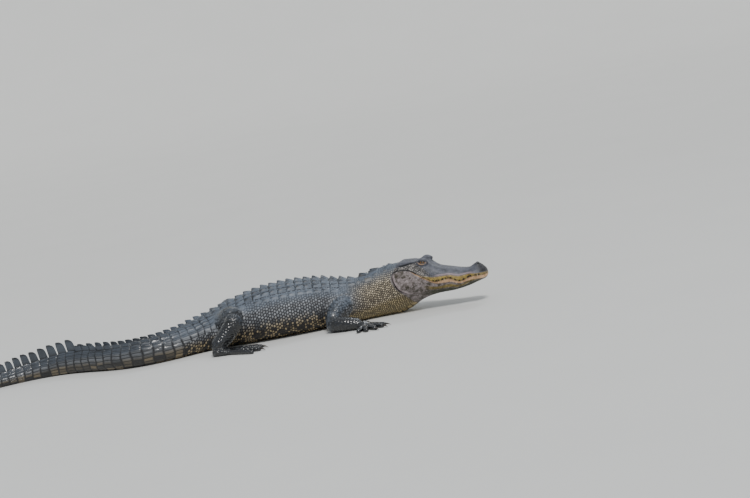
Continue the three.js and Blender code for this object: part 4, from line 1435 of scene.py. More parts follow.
class Limbs:
    """The four legs with their feet and toes, and the claws that stay pieces of their own."""

    clawed = 3
    claw = 17

    def __init__(self, body: Body) -> None:
        """Keeps the trunk that the legs grow from."""
        self.body = body
        self.claws: list[Spike] = []

    def build(self) -> list[list[Shell]]:
        """Builds every leg.

        Returns:
            For each leg its overlapping shells, from the trunk outwards.
        """
        return [self._leg(leg, seed) for seed, leg in enumerate(LEGS)]

    def _leg(self, leg: Leg, seed: int) -> list[Shell]:
        """Builds one leg.

        Args:
            leg: its sizes.
            seed: picks the draws of its scales.

        Returns:
            Its overlapping shells.
        """
        palm, toes = self._foot_tubes(leg)
        upper = Tube(leg.upper, UPPER.around, UPPER.step)
        lower = Tube(leg.lower, LOWER.around, LOWER.step)
        parts = (
            (upper, UPPER, [lower, palm, self.body]),
            (lower, LOWER, [upper, palm]),
            (palm, PALM, [upper, lower]),
        )
        shells = []
        for k, (tube, segment, neighbours) in enumerate(parts):
            shells.append(self._dressed(tube, segment, seed * 7 + k))
            blended(shells[-1], neighbours, segment.fold)
        for k, toe in enumerate(toes):
            shells.append(self._dressed(toe, TOE, seed * 11 + k))
            blended(shells[-1], [palm], TOE.fold)
        return shells

    def _dressed(self, tube: Tube, segment: Segment, seed: int) -> Shell:
        """Lays scales on a tube.

        Args:
            tube: the tube.
            segment: how it is scaled.
            seed: picks the draw.

        Returns:
            The shell with its relief.
        """
        places, along, angle = tube.rings(segment.rounded)
        scales = lumps(places, segment.pitch, seed + 1.0, segment.relief)
        share = along[:, None] / tube.length + 0 * places[..., 0]
        if segment.broad_from is not None:
            girth = math.pi * (tube.wide + tube.thick).mean()
            count = np.round(girth / (segment.pitch * 1.5))
            u = angle[None, :] / (2 * math.pi) * count + 0 * share
            big = slabs(u, along[:, None] / segment.pitch + 0 * share, seed + 2.0, 1.6, 0.12)
            outer = ramp(0.1, 0.35, np.sin(angle))[None, :]
            scales = scales.turned(big, outer * ramp(segment.broad_from, segment.broad_from + 0.1, share))
        from_end = np.minimum(along, tube.length - along)
        fade = ramp(0, segment.plain_ends, from_end)[:, None] if segment.plain_ends else 1.0
        above = ramp(-0.6, 0.8, np.sin(angle))[None, :]
        masks = {
            "crown": scales.crown,
            "fleck": scales.fleck,
            "wet": segment.wet + segment.wetter * ramp(*segment.wet_span, share),
            # painted light and shade: the upper side takes more of the paler flank tone, the underside more
            # of the dark low tone
            "back": segment.back + segment.back_above * above + 0 * share,
        }
        shell = Shell.from_rings(places, masks)
        height = (scales.height * fade).ravel()
        rise = np.append(height, [height[: tube.around].mean(), height[-tube.around :].mean()])
        shell.places += point_normals(shell.places, shell.faces) * rise[:, None]
        return shell

    def _foot_tubes(self, leg: Leg) -> tuple[Tube, list[Tube]]:
        """Lays out a foot's palm and toes, and notes where its claws grow.

        Args:
            leg: the leg's sizes.

        Returns:
            The palm and the toes.
        """
        turn = leg.side * math.radians(-leg.heading)
        ahead = np.array([math.cos(turn), math.sin(turn), 0])
        across = np.array([-ahead[1], ahead[0], 0])
        wrist = np.array(leg.lower[-1].at, float)

        def spot(distance: float, height: float, sideways: float = 0) -> Array:
            """Returns a point of the foot, by mm ahead of the wrist, over the floor and to the side."""
            return (wrist + ahead * distance + across * sideways) * (1, 1, 0) + UP * height

        wide = leg.palm_wide
        stops = (
            Stop(spot(-6, 14.5), wide * 0.76, 15),
            Stop(spot(leg.palm / 2, 12), wide, 13),
            Stop(spot(leg.palm + 8, 9), wide, 9),
        )
        palm = Tube(stops, PALM.around, PALM.step)
        toes = []
        last = len(leg.turns) - 1
        for i, degrees in enumerate(leg.turns):
            root = spot(leg.palm - 8, 10, leg.side * (i - last / 2) * leg.spacing)
            angle = turn - leg.side * math.radians(degrees)
            way = np.array([math.cos(angle), math.sin(angle), 0])
            radius = leg.radius * (0.85 if i in (0, last) else 1.0)
            tip = root + way * leg.reach[i]
            knuckle = (root + tip) / 2
            knuckle[2] = radius * 0.86
            tip[2] = radius * 0.7
            stops = (
                Stop(root, radius * 1.05, radius),
                Stop(knuckle, radius, radius * 0.95),
                Stop(tip, radius * 0.78, radius * 0.75),
            )
            toes.append(Tube(stops, TOE.around, TOE.step))
            if i < self.clawed:
                start = tip - way * radius * 0.5 + UP * (radius * 0.1)
                reach = way * (self.claw + radius * 0.5) + UP * (radius * 0.55)
                self.claws.append(Spike(start, reach, UP * (-radius * 1.25), radius * 0.38, radius * 0.5))
        return palm, toes


# Crests


@dataclass(frozen=True)
class Blade:
    """One blade of the crest: where it stands and its sizes in mm, and what picks its draws."""

    station: float
    left: float
    length: float
    tall: float
    thick: float
    root: float
    seed: int


@dataclass
class Crests:
    """The upright blades along the tail: pairs at first, then one tall row."""

    body: Body
    sizes: TailSizes = field(default_factory=TailSizes)
    levels: int = 26
    around: int = 44
    first_tall: float = 8
    last_pair_tall: float = 22
    single_tall: float = 42
    thick: float = 9
    single_thick: float = 8
    pair_root: float = 9
    single_root: float = 12

    def build(self) -> list[Shell]:
        """Builds every blade.

        Returns:
            One shell for each.
        """
        starts = self.sizes.starts(self.body.shape.tail_start)
        shells = []
        for i in range(len(starts) - 1):
            station = (starts[i] + starts[i + 1]) / 2
            pitch = starts[i + 1] - starts[i]
            lot = 2 * float(draw(i, 1.0, 4.0)) - 1
            if i < self.sizes.paired:
                rise = i / self.sizes.paired
                half = float(self.body.half(station))
                left = half * (0.42 + 0.28 * rise) * (1 - float(ramp(0.7, 1, rise)) * 0.55)
                tall = self.first_tall + (self.last_pair_tall - self.first_tall) * rise + lot
                for sign in (RIGHT, LEFT):
                    blade = Blade(station, sign * left, pitch * 0.95, tall, self.thick, self.pair_root, i)
                    shells.append(self._blade(blade))
            else:
                fall = (i - self.sizes.paired) / self.sizes.single
                tall = self.single_tall * (1 - 0.78 * fall**1.4) + 1.5 * lot
                root = min(self.single_root, float(self.body.top(station)) * 0.4)
                thick = self.single_thick * (1 - fall / 2)
                shells.append(self._blade(Blade(station, 0, pitch * 0.97, tall, thick, root, i)))
        return shells

    def _blade(self, blade: Blade) -> Shell:
        """Builds one blade: it leans back, is thick at its root and thin along its top.

        Args:
            blade: its place and sizes.

        Returns:
            Its shell.
        """
        body, station = self.body, blade.station
        share = np.abs(blade.left) / float(body.half(station))
        square = float(body.square_above(station))
        angle = math.acos(min(share, 0.999) ** (square / 2))
        side, height = body.skin(station, angle if blade.left >= 0 else math.pi - angle)
        back, beside = body.ways(station)
        share_up = np.linspace(-blade.root / blade.tall, 1, self.levels)[:, None]
        up = np.maximum(share_up, 0)
        front = -0.47 + 0.3 * up**1.3 + 0.36 * up**10
        rear = 0.47 + 0.14 * up - 0.08 * up**9
        turn = 2 * math.pi * np.arange(self.around)[None, :] / self.around
        swing = np.cos(turn)
        middle, reach = (front + rear) / 2, (rear - front) / 2
        lengthwise = (middle + reach * np.sign(swing) * np.abs(swing) ** 0.8) * blade.length
        flat = blade.thick / 2 * (1 - 0.7 * up**0.8) * (1 - 0.35 * ramp(0.88, 1, up))
        growth = np.sin(share_up * blade.tall * 0.9 + 3 * np.sin(turn + blade.seed))
        ribs = 0.35 * growth * ramp(0.1, 0.3, up) * (1 - up)
        sideways = (flat + ribs) * np.sin(turn) * (1 - 0.3 * np.square(swing))
        z = share_up * blade.tall * np.ones_like(turn)
        places = body.place(station, side, height) + back * lengthwise[..., None]
        places = places + beside * sideways[..., None] + UP * z[..., None]
        masks = {
            # crown: painted shade darkens the blade towards its root and in the grooves of its ribs
            "crown": ramp(-0.1, 0.5, up) * (0.75 + 0.25 * growth),
            "fleck": float(draw(blade.seed, 2.0, 6.0)),
            "back": 1.0,
            "wet": 0.6 * float(ramp(1080, 1240, station)),
            "keel": ramp(0.7, 1, up),
        }
        shell = Shell.from_rings(places, masks)
        shell.places[-1, 2] += 0.3
        return shell


# Making Blender's objects


def to_object(
    name: str, places: Array, faces: Array, masks: dict[str, Array] | None = None
) -> bpy.types.Object:
    """Makes a mesh object.

    Args:
        name: its name.
        places: its points in metres, in the shared frame.
        faces: its triangles.
        masks: values to keep on its points.

    Returns:
        The object, smooth shaded and linked to the scene.
    """
    mesh = bpy.data.meshes.new(name)
    mesh.vertices.add(len(places))
    mesh.vertices.foreach_set("co", np.ascontiguousarray(places, np.float32).ravel())
    mesh.loops.add(len(faces) * 3)
    mesh.loops.foreach_set("vertex_index", np.ascontiguousarray(faces, np.int32).ravel())
    mesh.polygons.add(len(faces))
    mesh.polygons.foreach_set("loop_start", np.arange(0, len(faces) * 3, 3, dtype=np.int32))
    mesh.update(calc_edges=True)
    for mask, values in (masks or {}).items():
        layer = mesh.attributes.new(mask, "FLOAT", "POINT")
        layer.data.foreach_set("value", np.ascontiguousarray(values, np.float32))
    mesh.polygons.foreach_set("use_smooth", np.ones(len(faces), bool))
    item = bpy.data.objects.new(name, mesh)
    bpy.context.scene.collection.objects.link(item)
    return item


def united(whole: bpy.types.Object, part: bpy.types.Object) -> None:
    """Fuses one closed object into another, in place, and removes it.

    Args:
        whole: the object that grows.
        part: the object that is fused into it.
    """
    fuse = whole.modifiers.new("fuse", "BOOLEAN")
    fuse.operation = "UNION"
    fuse.solver = "MANIFOLD"
    fuse.object = part
    graph = bpy.context.evaluated_depsgraph_get()
    made = bpy.data.meshes.new_from_object(whole.evaluated_get(graph), depsgraph=graph)
    whole.modifiers.clear()
    old = whole.data
    whole.data = made
    bpy.data.meshes.remove(old)
    bpy.data.objects.remove(part, do_unlink=True)


def softened(item: bpy.types.Object, spread: int = 6, rounds: int = 8) -> None:
    """Smooths a fused mesh along its seams, in place and in its masks alike.

    Args:
        item: the object, whose points know by "own" which part they came from.
        spread: how many rings of points beside a seam move with it.
        rounds: how many times they are eased.
    """
    mesh = item.data
    count = len(mesh.vertices)
    edges = np.empty(len(mesh.edges) * 2, np.int32)
    mesh.edges.foreach_get("vertices", edges)
    a, b = edges.reshape(-1, 2).T
    own = np.empty(count, np.float32)
    mesh.attributes["own"].data.foreach_get("value", own)
    seam = np.abs(own[a] - own[b]) > 0.01
    weight = np.zeros(count)
    weight[a[seam]] = weight[b[seam]] = 1.0
    for _ in range(spread):
        wider = weight.copy()
        np.maximum.at(wider, a, weight[b] * 0.82)
        np.maximum.at(wider, b, weight[a] * 0.82)
        weight = wider
    near = (weight[a] > 0) & (weight[b] > 0)
    a, b = a[near], b[near]
    known = own > 0.5
    links = np.bincount(a, known[b], count) + np.bincount(b, known[a], count)
    degree = np.maximum(np.bincount(a, minlength=count) + np.bincount(b, minlength=count), 1)
    at = np.empty(count * 3, np.float32)
    mesh.vertices.foreach_get("co", at)
    values = {name: np.empty(count, np.float32) for name in MASKS}
    for name, value in values.items():
        mesh.attributes[name].data.foreach_get("value", value)
        beside = np.bincount(a, value[b] * known[b], count) + np.bincount(b, value[a] * known[a], count)
        value[:] = np.where(known | (links == 0), value, beside / np.maximum(links, 1))
    columns = np.column_stack([at.reshape(-1, 3), *values.values()]).astype(float)
    share = 0.6 * weight * (weight > 0.3)
    crisp = [3 + MASKS.index(name) for name in ("crown", "fleck")]
    for number, column in enumerate(columns.T):
        for _ in range(1 if number in crisp else rounds):
            mean = (np.bincount(a, column[b], count) + np.bincount(b, column[a], count)) / degree
            column += share * (mean - column)
    mesh.vertices.foreach_set("co", np.ascontiguousarray(columns[:, :3], np.float32).ravel())
    for k, name in enumerate(values):
        mesh.attributes[name].data.foreach_set("value", np.ascontiguousarray(columns[:, 3 + k], np.float32))
    mesh.update()


# Finishes


class Signal:
    """A value in a material's nodes that sums and products can be written on."""

    def __init__(self, paint: Paint, socket: bpy.types.NodeSocket) -> None:
        """Wraps a socket of a material's nodes."""
        self.paint = paint
        self.socket = socket

    def _math(self, operation: str, *values: Signal | float, clamp: bool = False) -> Signal:
        """Adds a Math node on values."""
        sockets = dict(enumerate(values))
        made = self.paint.node("ShaderNodeMath", {"operation": operation, "use_clamp": clamp}, sockets)
        return Signal(self.paint, made.outputs[0])

    def __add__(self, other: Signal | float) -> Signal:
        """Returns the sum."""
        return self._math("ADD", self, other)

    __radd__ = __add__

    def __sub__(self, other: Signal | float) -> Signal:
        """Returns the difference."""
        return self._math("SUBTRACT", self, other)

    def __rsub__(self, other: float) -> Signal:
        """Returns the difference from a number."""
        return self._math("SUBTRACT", other, self)

    def __mul__(self, other: Signal | float) -> Signal:
        """Returns the product."""
        return self._math("MULTIPLY", self, other)

    __rmul__ = __mul__

    def clamped(self) -> Signal:
        """Returns the value held between 0 and 1."""
        return self._math("ADD", self, 0.0, clamp=True)

    def step(self, low: float, high: float) -> Signal:
        """Returns a smooth step from 0 at low to 1 at high."""
        made = self.paint.node(
            "ShaderNodeMapRange",
            {"interpolation_type": "SMOOTHSTEP"},
            {"Value": self, "From Min": low, "From Max": high},
        )
        return Signal(self.paint, made.outputs[0])


Colour = tuple[float, float, float]


def ink(code: str) -> Colour:
    """Returns the linear colour of a six-figure screen colour."""
    parts = [int(code[k : k + 2], 16) / 255 for k in (0, 2, 4)]
    return tuple(c / 12.92 if c <= 0.04045 else ((c + 0.055) / 1.055) ** 2.4 for c in parts)


class Paint:
    """One material and the few calls that its finish is written in."""

    def __init__(self, name: str) -> None:
        """Starts a material with one shader."""
        self.material = bpy.data.materials.new(name)
        self.material.use_nodes = True
        self.tree = self.material.node_tree
        self.shader = self.tree.nodes["Principled BSDF"]
        self.spot = 0

    def node(self, kind: str, settings: dict | None = None, sockets: dict | None = None) -> bpy.types.Node:
        """Adds a node.

        Args:
            kind: its type.
            settings: its settings, set first.
            sockets: values or links of its sockets by name or number.

        Returns:
            The node.
        """
        made = self.tree.nodes.new(kind)
        self.spot += 1
        made.location = (-220 * (self.spot % 12) - 300, -200 * (self.spot // 12))
        for key, value in (settings or {}).items():
            setattr(made, key, value)
        for key, value in (sockets or {}).items():
            self.feed(made.inputs[key], value)
        return made

    def feed(self, socket: bpy.types.NodeSocket, value: object) -> None:
        """Sets or links a socket.

        Args:
            socket: the socket.
            value: a Signal, a socket, a number or a colour.
        """
        if isinstance(value, Signal):
            self.tree.links.new(value.socket, socket)
        elif isinstance(value, bpy.types.NodeSocket):
            self.tree.links.new(value, socket)
        elif isinstance(value, tuple) and len(value) == 3 and len(socket.default_value) == 4:
            socket.default_value = (*value, 1.0)
        else:
            socket.default_value = value

    def mask(self, name: str) -> Signal:
        """Returns a mask that the shaping left on the mesh."""
        made = self.node("ShaderNodeAttribute", {"attribute_name": name})
        return Signal(self, made.outputs["Fac"])

    def noise(
        self,
        scale: float,
        detail: float = 3.0,
        rough: float = 0.55,
        stretch: tuple[float, float, float] | None = None,
    ) -> Signal:
        """A cloudy value in the object's own space.

        Args:
            scale: how many clouds to a metre.
            detail: how many finer layers.
            rough: how strong those are.
            stretch: how much closer the clouds lie along each axis.

        Returns:
            A value round 0.5.
        """
        place = self.node("ShaderNodeTexCoord").outputs["Object"]
        if stretch:
            place = self.node("ShaderNodeMapping", {}, {"Vector": place, "Scale": stretch}).outputs[0]
        sockets = {"Vector": place, "Scale": scale, "Detail": detail, "Roughness": rough}
        made = self.node("ShaderNodeTexNoise", {}, sockets)
        return Signal(self, made.outputs["Fac"])

    def mix(self, share: Signal | float, below: object, above: object) -> bpy.types.NodeSocket:
        """Mixes two colours.

        Args:
            share: how much of the second shows.
            below: the first colour.
            above: the second colour.

        Returns:
            The colour's socket.
        """
        made = self.node("ShaderNodeMix", {"data_type": "RGBA"}, {0: share, 6: below, 7: above})
        return made.outputs[2]

    def bump(self, height: Signal, strength: float, depth: float) -> bpy.types.NodeSocket:
        """Returns a surface direction that follows a height of a depth in metres."""
        made = self.node("ShaderNodeBump", {}, {"Height": height, "Strength": strength, "Distance": depth})
        return made.outputs["Normal"]

    def finish(self, sockets: dict[str, object]) -> bpy.types.Material:
        """Feeds the shader and returns the material."""
        for key, value in sockets.items():
            self.feed(self.shader.inputs[key], value)
        return self.material


@dataclass(frozen=True)
class Tones:
    """A kind of hide: its colour in the grooves and on its darkest scales, and on its palest."""

    dark: Colour
    pale: Colour


@dataclass(frozen=True)
class HideFinish:
    """The hide: slate back, flecked flanks, beaded neck, pale lips, olive throat and wet dark legs, with
    painted shade low on its sides, under the jaw and in its grooves, pits and creases.
    """

    back: Tones = Tones(ink("171b20"), ink("66707d"))
    flank: Tones = Tones(ink("1f2126"), ink("9a9ea4"))
    # low: the low sides and the undersides of the legs, dark partly in their own colour, partly in painted
    # shade
    low: Tones = Tones(ink("14100e"), ink("a99672"))
    bead: Tones = Tones(ink("221b17"), ink("dccdb0"))
    throat: Tones = Tones(ink("2a2517"), ink("b9a67c"))
    head: Tones = Tones(ink("30333a"), ink("6e717e"))
    face: Tones = Tones(ink("2b2a2a"), ink("b3ada8"))
    jaw: Tones = Tones(ink("3a3427"), ink("a5999a"))
    stripe: Tones = Tones(ink("4a4020"), ink("9a8544"))
    # under: the jaw's underside, olive darkened by painted shade
    under: Tones = Tones(ink("1c1e15"), ink("45462f"))
    lip: Tones = Tones(ink("57451f"), ink("9f8840"))
    lower_lip: Tones = Tones(ink("a3744b"), ink("e6bb8f"))
    wet: Tones = Tones(ink("050608"), ink("23272e"))
    rim: Colour = ink("a8949a")
    # dark: near-black for the fine speckle, and for the painted shade of the dark mask
    dark: Colour = ink("0b0a09")

    def make(self) -> bpy.types.Material:
        """Builds the material.

        Returns:
            The material.
        """
        p = Paint("hide")
        m = {name: p.mask(name) for name in MASKS}
        cloud = p.noise(14, 4).step(0.3, 0.7)
        blotch = p.noise(60, 4, 0.6)
        grain = p.noise(300, 4, 0.6)
        # scale crowns paler than their grooves: partly the hide's own speckle, partly painted highlight on
        # the crowns and painted shade in the grooves
        soft = m["crown"].step(0.12, 0.8)
        crown = m["crown"].step(0.02, 0.3)
        fleck = m["fleck"]

        def toned(tones: Tones, tone: Signal) -> bpy.types.NodeSocket:
            """Returns a kind of hide in its tone from dark to pale."""
            return p.mix(tone.clamped(), tones.dark, tones.pale)

        # keel darkening: the keels' own near-black, with painted shade on their rear facets
        back = toned(self.back, crown * (0.3 + 0.35 * fleck + 0.5 * cloud + 0.2 * soft) - 0.8 * m["keel"])
        flank = toned(self.flank, soft * (0.35 + 0.75 * fleck) * (0.75 + 0.5 * cloud))
        low = toned(self.low, soft * fleck.step(0.3, 0.75) * (0.1 + 0.9 * m["tan"]))
        # darker low sides: partly their own colour, partly painted shade under the body
        colour = p.mix(m["back"].step(0.18, 0.6), low, flank)
        colour = p.mix(m["back"].step(0.66, 0.86), colour, back)
        beads = toned(self.bead, soft * (0.4 + 0.8 * fleck) * (0.7 + 0.5 * cloud))
        colour = p.mix(m["beads"], colour, beads)
        colour = p.mix(m["throat"], colour, toned(self.throat, soft * (0.3 + 0.6 * fleck + 0.6 * blotch)))
        pepper = soft * (0.15 + 1.2 * fleck) + 1.6 * (blotch - 0.5)
        mottle = 0.45 + 2.6 * (blotch - 0.5) + 0.45 * (fleck - 0.5) - 0.4 * (1 - crown)
        head = toned(self.head, 0.3 + 1.5 * (blotch - 0.4) + 0.3 * (fleck - 0.4) - 0.5 * (1 - crown))
        colour = p.mix(m["head"], colour, p.mix(m["face"], head, toned(self.face, pepper)))
        for name, tones in (("jaw", self.jaw), ("stripe", self.stripe), ("under", self.under)):
            colour = p.mix(m[name], colour, toned(tones, mottle))
        wet = toned(self.wet, soft * (0.1 + 0.6 * fleck + 0.4 * cloud))
        colour = p.mix(m["wet"], colour, wet)
        colour = p.mix(m["lip"], colour, toned(self.lip, mottle + 0.2))
        colour = p.mix(m["rim"] * 0.75, colour, self.rim)
        colour = p.mix(m["lower_lip"], colour, toned(self.lower_lip, mottle + 0.35))
        colour = p.mix(grain.step(0.5, 0.75) * 0.3, colour, self.dark)
        # painted shade of the dark mask in the pits, slits, folds, creases and the eye's opening
        colour = p.mix(m["dark"], colour, self.dark)
        rough = 0.46 + 0.3 * (grain - 0.5) - 0.2 * m["wet"] + 0.15 * (1 - crown)
        height = grain * 0.6 + p.noise(900, 2) * 0.4
        return p.finish(
            {
                "Base Color": colour,
                "Roughness": rough.clamped(),
                "Normal": p.bump(height, 0.35, 0.0008),
                "Coat Weight": (m["wet"] * 0.8).clamped(),
                "Coat Roughness": 0.12,
                "Specular IOR Level": 0.5,
            }
        )


@dataclass(frozen=True)
class EyeFinish:
    """The eye: golden iris with dark rays, a slit pupil and a wet surface."""

    iris: Colour = ink("8f6426")
    iris_edge: Colour = ink("3a2409")
    pupil: Colour = ink("050403")
    white: Colour = ink("5d4a2a")

    def make(self) -> bpy.types.Material:
        """Builds the material.

        Returns:
            The material.
        """
        p = Paint("eye")
        ring, slit = p.mask("ring"), p.mask("slit")
        rays = p.noise(900, 4, 0.7)
        iris = p.mix(rays.step(0.35, 0.7), self.iris_edge, self.iris)
        iris = p.mix(ring.step(0.6, 0.95), iris, self.iris_edge)
        colour = p.mix(ring.step(0.95, 1.05), iris, self.white)
        colour = p.mix(slit, colour, self.pupil)
        wet = {"Roughness": 0.08, "Coat Weight": 1.0, "Coat Roughness": 0.02}
        return p.finish({"Base Color": colour, **wet})


@dataclass(frozen=True)
class HornFinish:
    """Horn or tooth: a dark or ivory body with fine lengthwise grain."""

    name: str
    base: Colour
    tip: Colour
    rough: float

    def make(self) -> bpy.types.Material:
        """Builds the material.

        Returns:
            The material.
        """
        p = Paint(self.name)
        grain = p.noise(420, 4, 0.6, (1, 1, 0.25))
        colour = p.mix(p.mask("tip"), self.base, self.tip)
        colour = p.mix(grain.step(0.45, 0.7) * 0.4, colour, self.tip)
        return p.finish(
            {
                "Base Color": colour,
                "Roughness": (grain * 0.2 + self.rough).clamped(),
                "Normal": p.bump(grain, 0.3, 0.0004),
            }
        )


@dataclass(frozen=True)
class FloorFinish:
    """A plain pale floor with the faintest cloud."""

    pale: Colour = ink("d9dad8")
    paler: Colour = ink("dedfdd")

    def make(self) -> bpy.types.Material:
        """Builds the material.

        Returns:
            The material.
        """
        p = Paint("floor")
        return p.finish({"Base Color": p.mix(p.noise(2.0), self.pale, self.paler), "Roughness": 0.85})


# Pieces


class Part(Enum):
    """The CAD nodes that the skin and the eyes stand for."""

    FLESH = (
        *("head_upper", "lower_jaw", "neck", "torso_front", "torso_rear"),
        *(f"tail_{number}" for number in range(1, 6)),
        *(
            f"{name}_{side}"
            for leg in (("upper_arm", "forearm", "forefoot"), ("thigh", "shank", "hind_foot"))
            for side in ("right", "left")
            for name in leg
        ),
    )
    EYES = ("eye_right", "eye_left")


@dataclass
class Skin:
    """The one skin of head, trunk, tail and legs."""

    body: Body
    shift: Array

    def build(self) -> bpy.types.Object:
        """Builds and fuses the skin.

        Returns:
            The finished object.
        """
        trunk = Trunk(self.body).build()
        limbs = Limbs(self.body)
        legs = limbs.build()
        self.claws = limbs.claws
        blended(trunk, [Tube(leg.upper, 96, 2.0) for leg in LEGS], UPPER.fold)
        whole = self._object("skin", trunk, 0)
        for number, shells in enumerate(legs):
            leg = self._object("leg", shells[0], 1)
            for part, shell in enumerate(shells[1:]):
                united(leg, self._object("part", shell, 2 + part))
            united(whole, leg)
            LOG.info("leg %d fused", number + 1)
        softened(whole)
        united(whole, self._object("crests", Shell.joined(Crests(self.body).build()), 20))
        whole.data.polygons.foreach_set("use_smooth", np.ones(len(whole.data.polygons), bool))
        whole.data.materials.clear()
        whole.data.materials.append(HideFinish().make())
        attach(whole, "root")
        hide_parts(*Part.FLESH.value)
        return whole

    def _object(self, name: str, shell: Shell, part: int) -> bpy.types.Object:
        """Makes a shell an object in the shared frame.

        Args:
            name: its name.
            shell: the shell in mm.
            part: number kept on its points, to find the seams by.

        Returns:
            The object.
        """
        masks = dict(shell.masks)
        masks["own"] = np.full(len(shell.places), 1.0 + part)
        return to_object(name, (shell.places + self.shift) * MM, shell.faces, masks)


@dataclass
class Eyes:
    """Both eyeballs, which look outwards, a little ahead and a little up."""

    body: Body
    shift: Array
    rings: int = 64
    around: int = 96
    ahead: float = 0.12
    upward: float = 0.1
    swell: float = 0.05
    iris: float = 0.85
    pupil: tuple[float, float] = (0.16, 0.55)

    def build(self) -> bpy.types.Object:
        """Builds the eyeballs.

        Returns:
            The object.
        """
        station, left, height = self.body.shape.eye
        radius = self.body.shape.eye_radius
        polar = np.linspace(0, math.pi, self.rings)[:, None]
        turn = 2 * math.pi * np.arange(self.around)[None, :] / self.around
        x, y = np.sin(polar) * np.cos(turn), np.sin(polar) * np.sin(turn)
        z = np.cos(polar) + 0 * turn
        swell = 1 + self.swell * bell(polar / 0.5)
        wide, tall = self.pupil
        slit = np.abs(x) / (wide * np.sqrt(np.maximum(1 - (y / tall) ** 2, 0.001)))
        slit = (1 - ramp(0.75, 1.1, slit)) * (np.abs(y) < tall) * (z > 0)
        ring = polar / self.iris + 0 * turn
        places = []
        back, beside = self.body.ways(station)
        for sign in (RIGHT, LEFT):
            look = sign * beside - back * self.ahead + UP * self.upward
            look /= np.linalg.norm(look)
            side = np.cross(UP, look)
            side /= np.linalg.norm(side)
            up = np.cross(look, side)
            points = x[..., None] * side + y[..., None] * up + z[..., None] * look
            points = points * (radius * swell)[..., None]
            places.append((self.body.place(station, sign * left, height) + points).reshape(-1, 3))
        faces = [ring_faces(self.rings, self.around, start) for start in (0, len(places[0]))]
        places = np.concatenate(places)
        masks = {"ring": np.tile(ring.ravel(), 2), "slit": np.tile(slit.ravel(), 2)}
        faces = outward(places, np.concatenate(faces))
        item = to_object("eyes", (places + self.shift) * MM, faces, masks)
        item.data.materials.append(EyeFinish().make())
        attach(item, "root")
        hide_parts(*Part.EYES.value)
        return item


@dataclass
class Spikes:
    """Curved claws or teeth as one piece."""

    name: str
    spikes: Sequence[Spike]
    finish: HornFinish
    shift: Array
    levels: int = 22
    around: int = 20

    def build(self, slot: str) -> bpy.types.Object:
        """Builds the piece.

        Args:
            slot: not used.

        Returns:
            The object.
        """
        shells = [self._spike(spike) for spike in self.spikes]
        whole = Shell.joined(shells)
        masks = {"tip": whole.masks["crown"]}
        item = to_object(self.name, (whole.places + self.shift) * MM, whole.faces, masks)
        item.data.materials.append(self.finish.make())
        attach(item, "root")
        return item

    def _spike(self, spike: Spike) -> Shell:
        """Builds one spike.

        Args:
            spike: its place and sizes.

        Returns:
            Its shell, whose crown mask grows towards the tip.
        """
        share = np.linspace(0, 1, self.levels)[:, None]
        turn = 2 * math.pi * np.arange(self.around)[None, :] / self.around
        line = spike.start + spike.reach * share + spike.bend * share**2.2
        way = spike.reach / np.linalg.norm(spike.reach)
        over = spike.bend - way * (way @ spike.bend)
        over /= np.linalg.norm(over)
        beside = np.cross(way, over)
        girth = ((1 - share) ** spike.blunt * 0.92 + 0.08)[..., None]
        points = line[:, None] + girth * spike.wide * np.cos(turn)[..., None] * beside
        points = points + girth * spike.thick * np.sin(turn)[..., None] * over
        points[..., 2] = np.maximum(points[..., 2], 0.3)
        return Shell.from_rings(points, {"crown": share**1.5})


@dataclass(frozen=True)
class Teeth:
    """Where the upper teeth show over the lower lip."""

    stations: tuple[float, ...] = (18, 31, 47, 71, 89, 103, 117, 134, 148, 161)
    length: float = 5.5
    radius: float = 2.5
    over_lip: float = 2.5

    def spikes(self, body: Body) -> list[Spike]:
        """Works out the teeth of both sides.

        Args:
            body: the trunk.

        Returns:
            The teeth.
        """
        found = []
        angles = np.linspace(-1.2, 1.2, 481)
        for k, station in enumerate(self.stations):
            lot = 0.8 + 0.4 * float(draw(k, 3.0, 2.0))
            left, height = body.skin(station, angles)
            lip = float(body.mouth(station)) + self.over_lip
            side = float(np.interp(lip, np.maximum.accumulate(height), left))
            for sign in (RIGHT, LEFT):
                root = body.place(station, sign * (side - 1.6), lip + 1.5)
                out = (body.place(station, sign * (side + 1.0), lip) - root) * (1, 1, 0)
                reach = UP * (-self.length * lot) + out * 0.25
                wide = self.radius * lot
                found.append(Spike(root, reach, out * -0.5, wide, wide * 0.9, 0.4))
        return found


@dataclass(frozen=True)
class Sun:
    """A far, soft light: the way that it comes from, its strength, its width in degrees and its colour."""

    name: str
    way: tuple[float, float, float]
    power: float
    spread: float
    colour: Colour


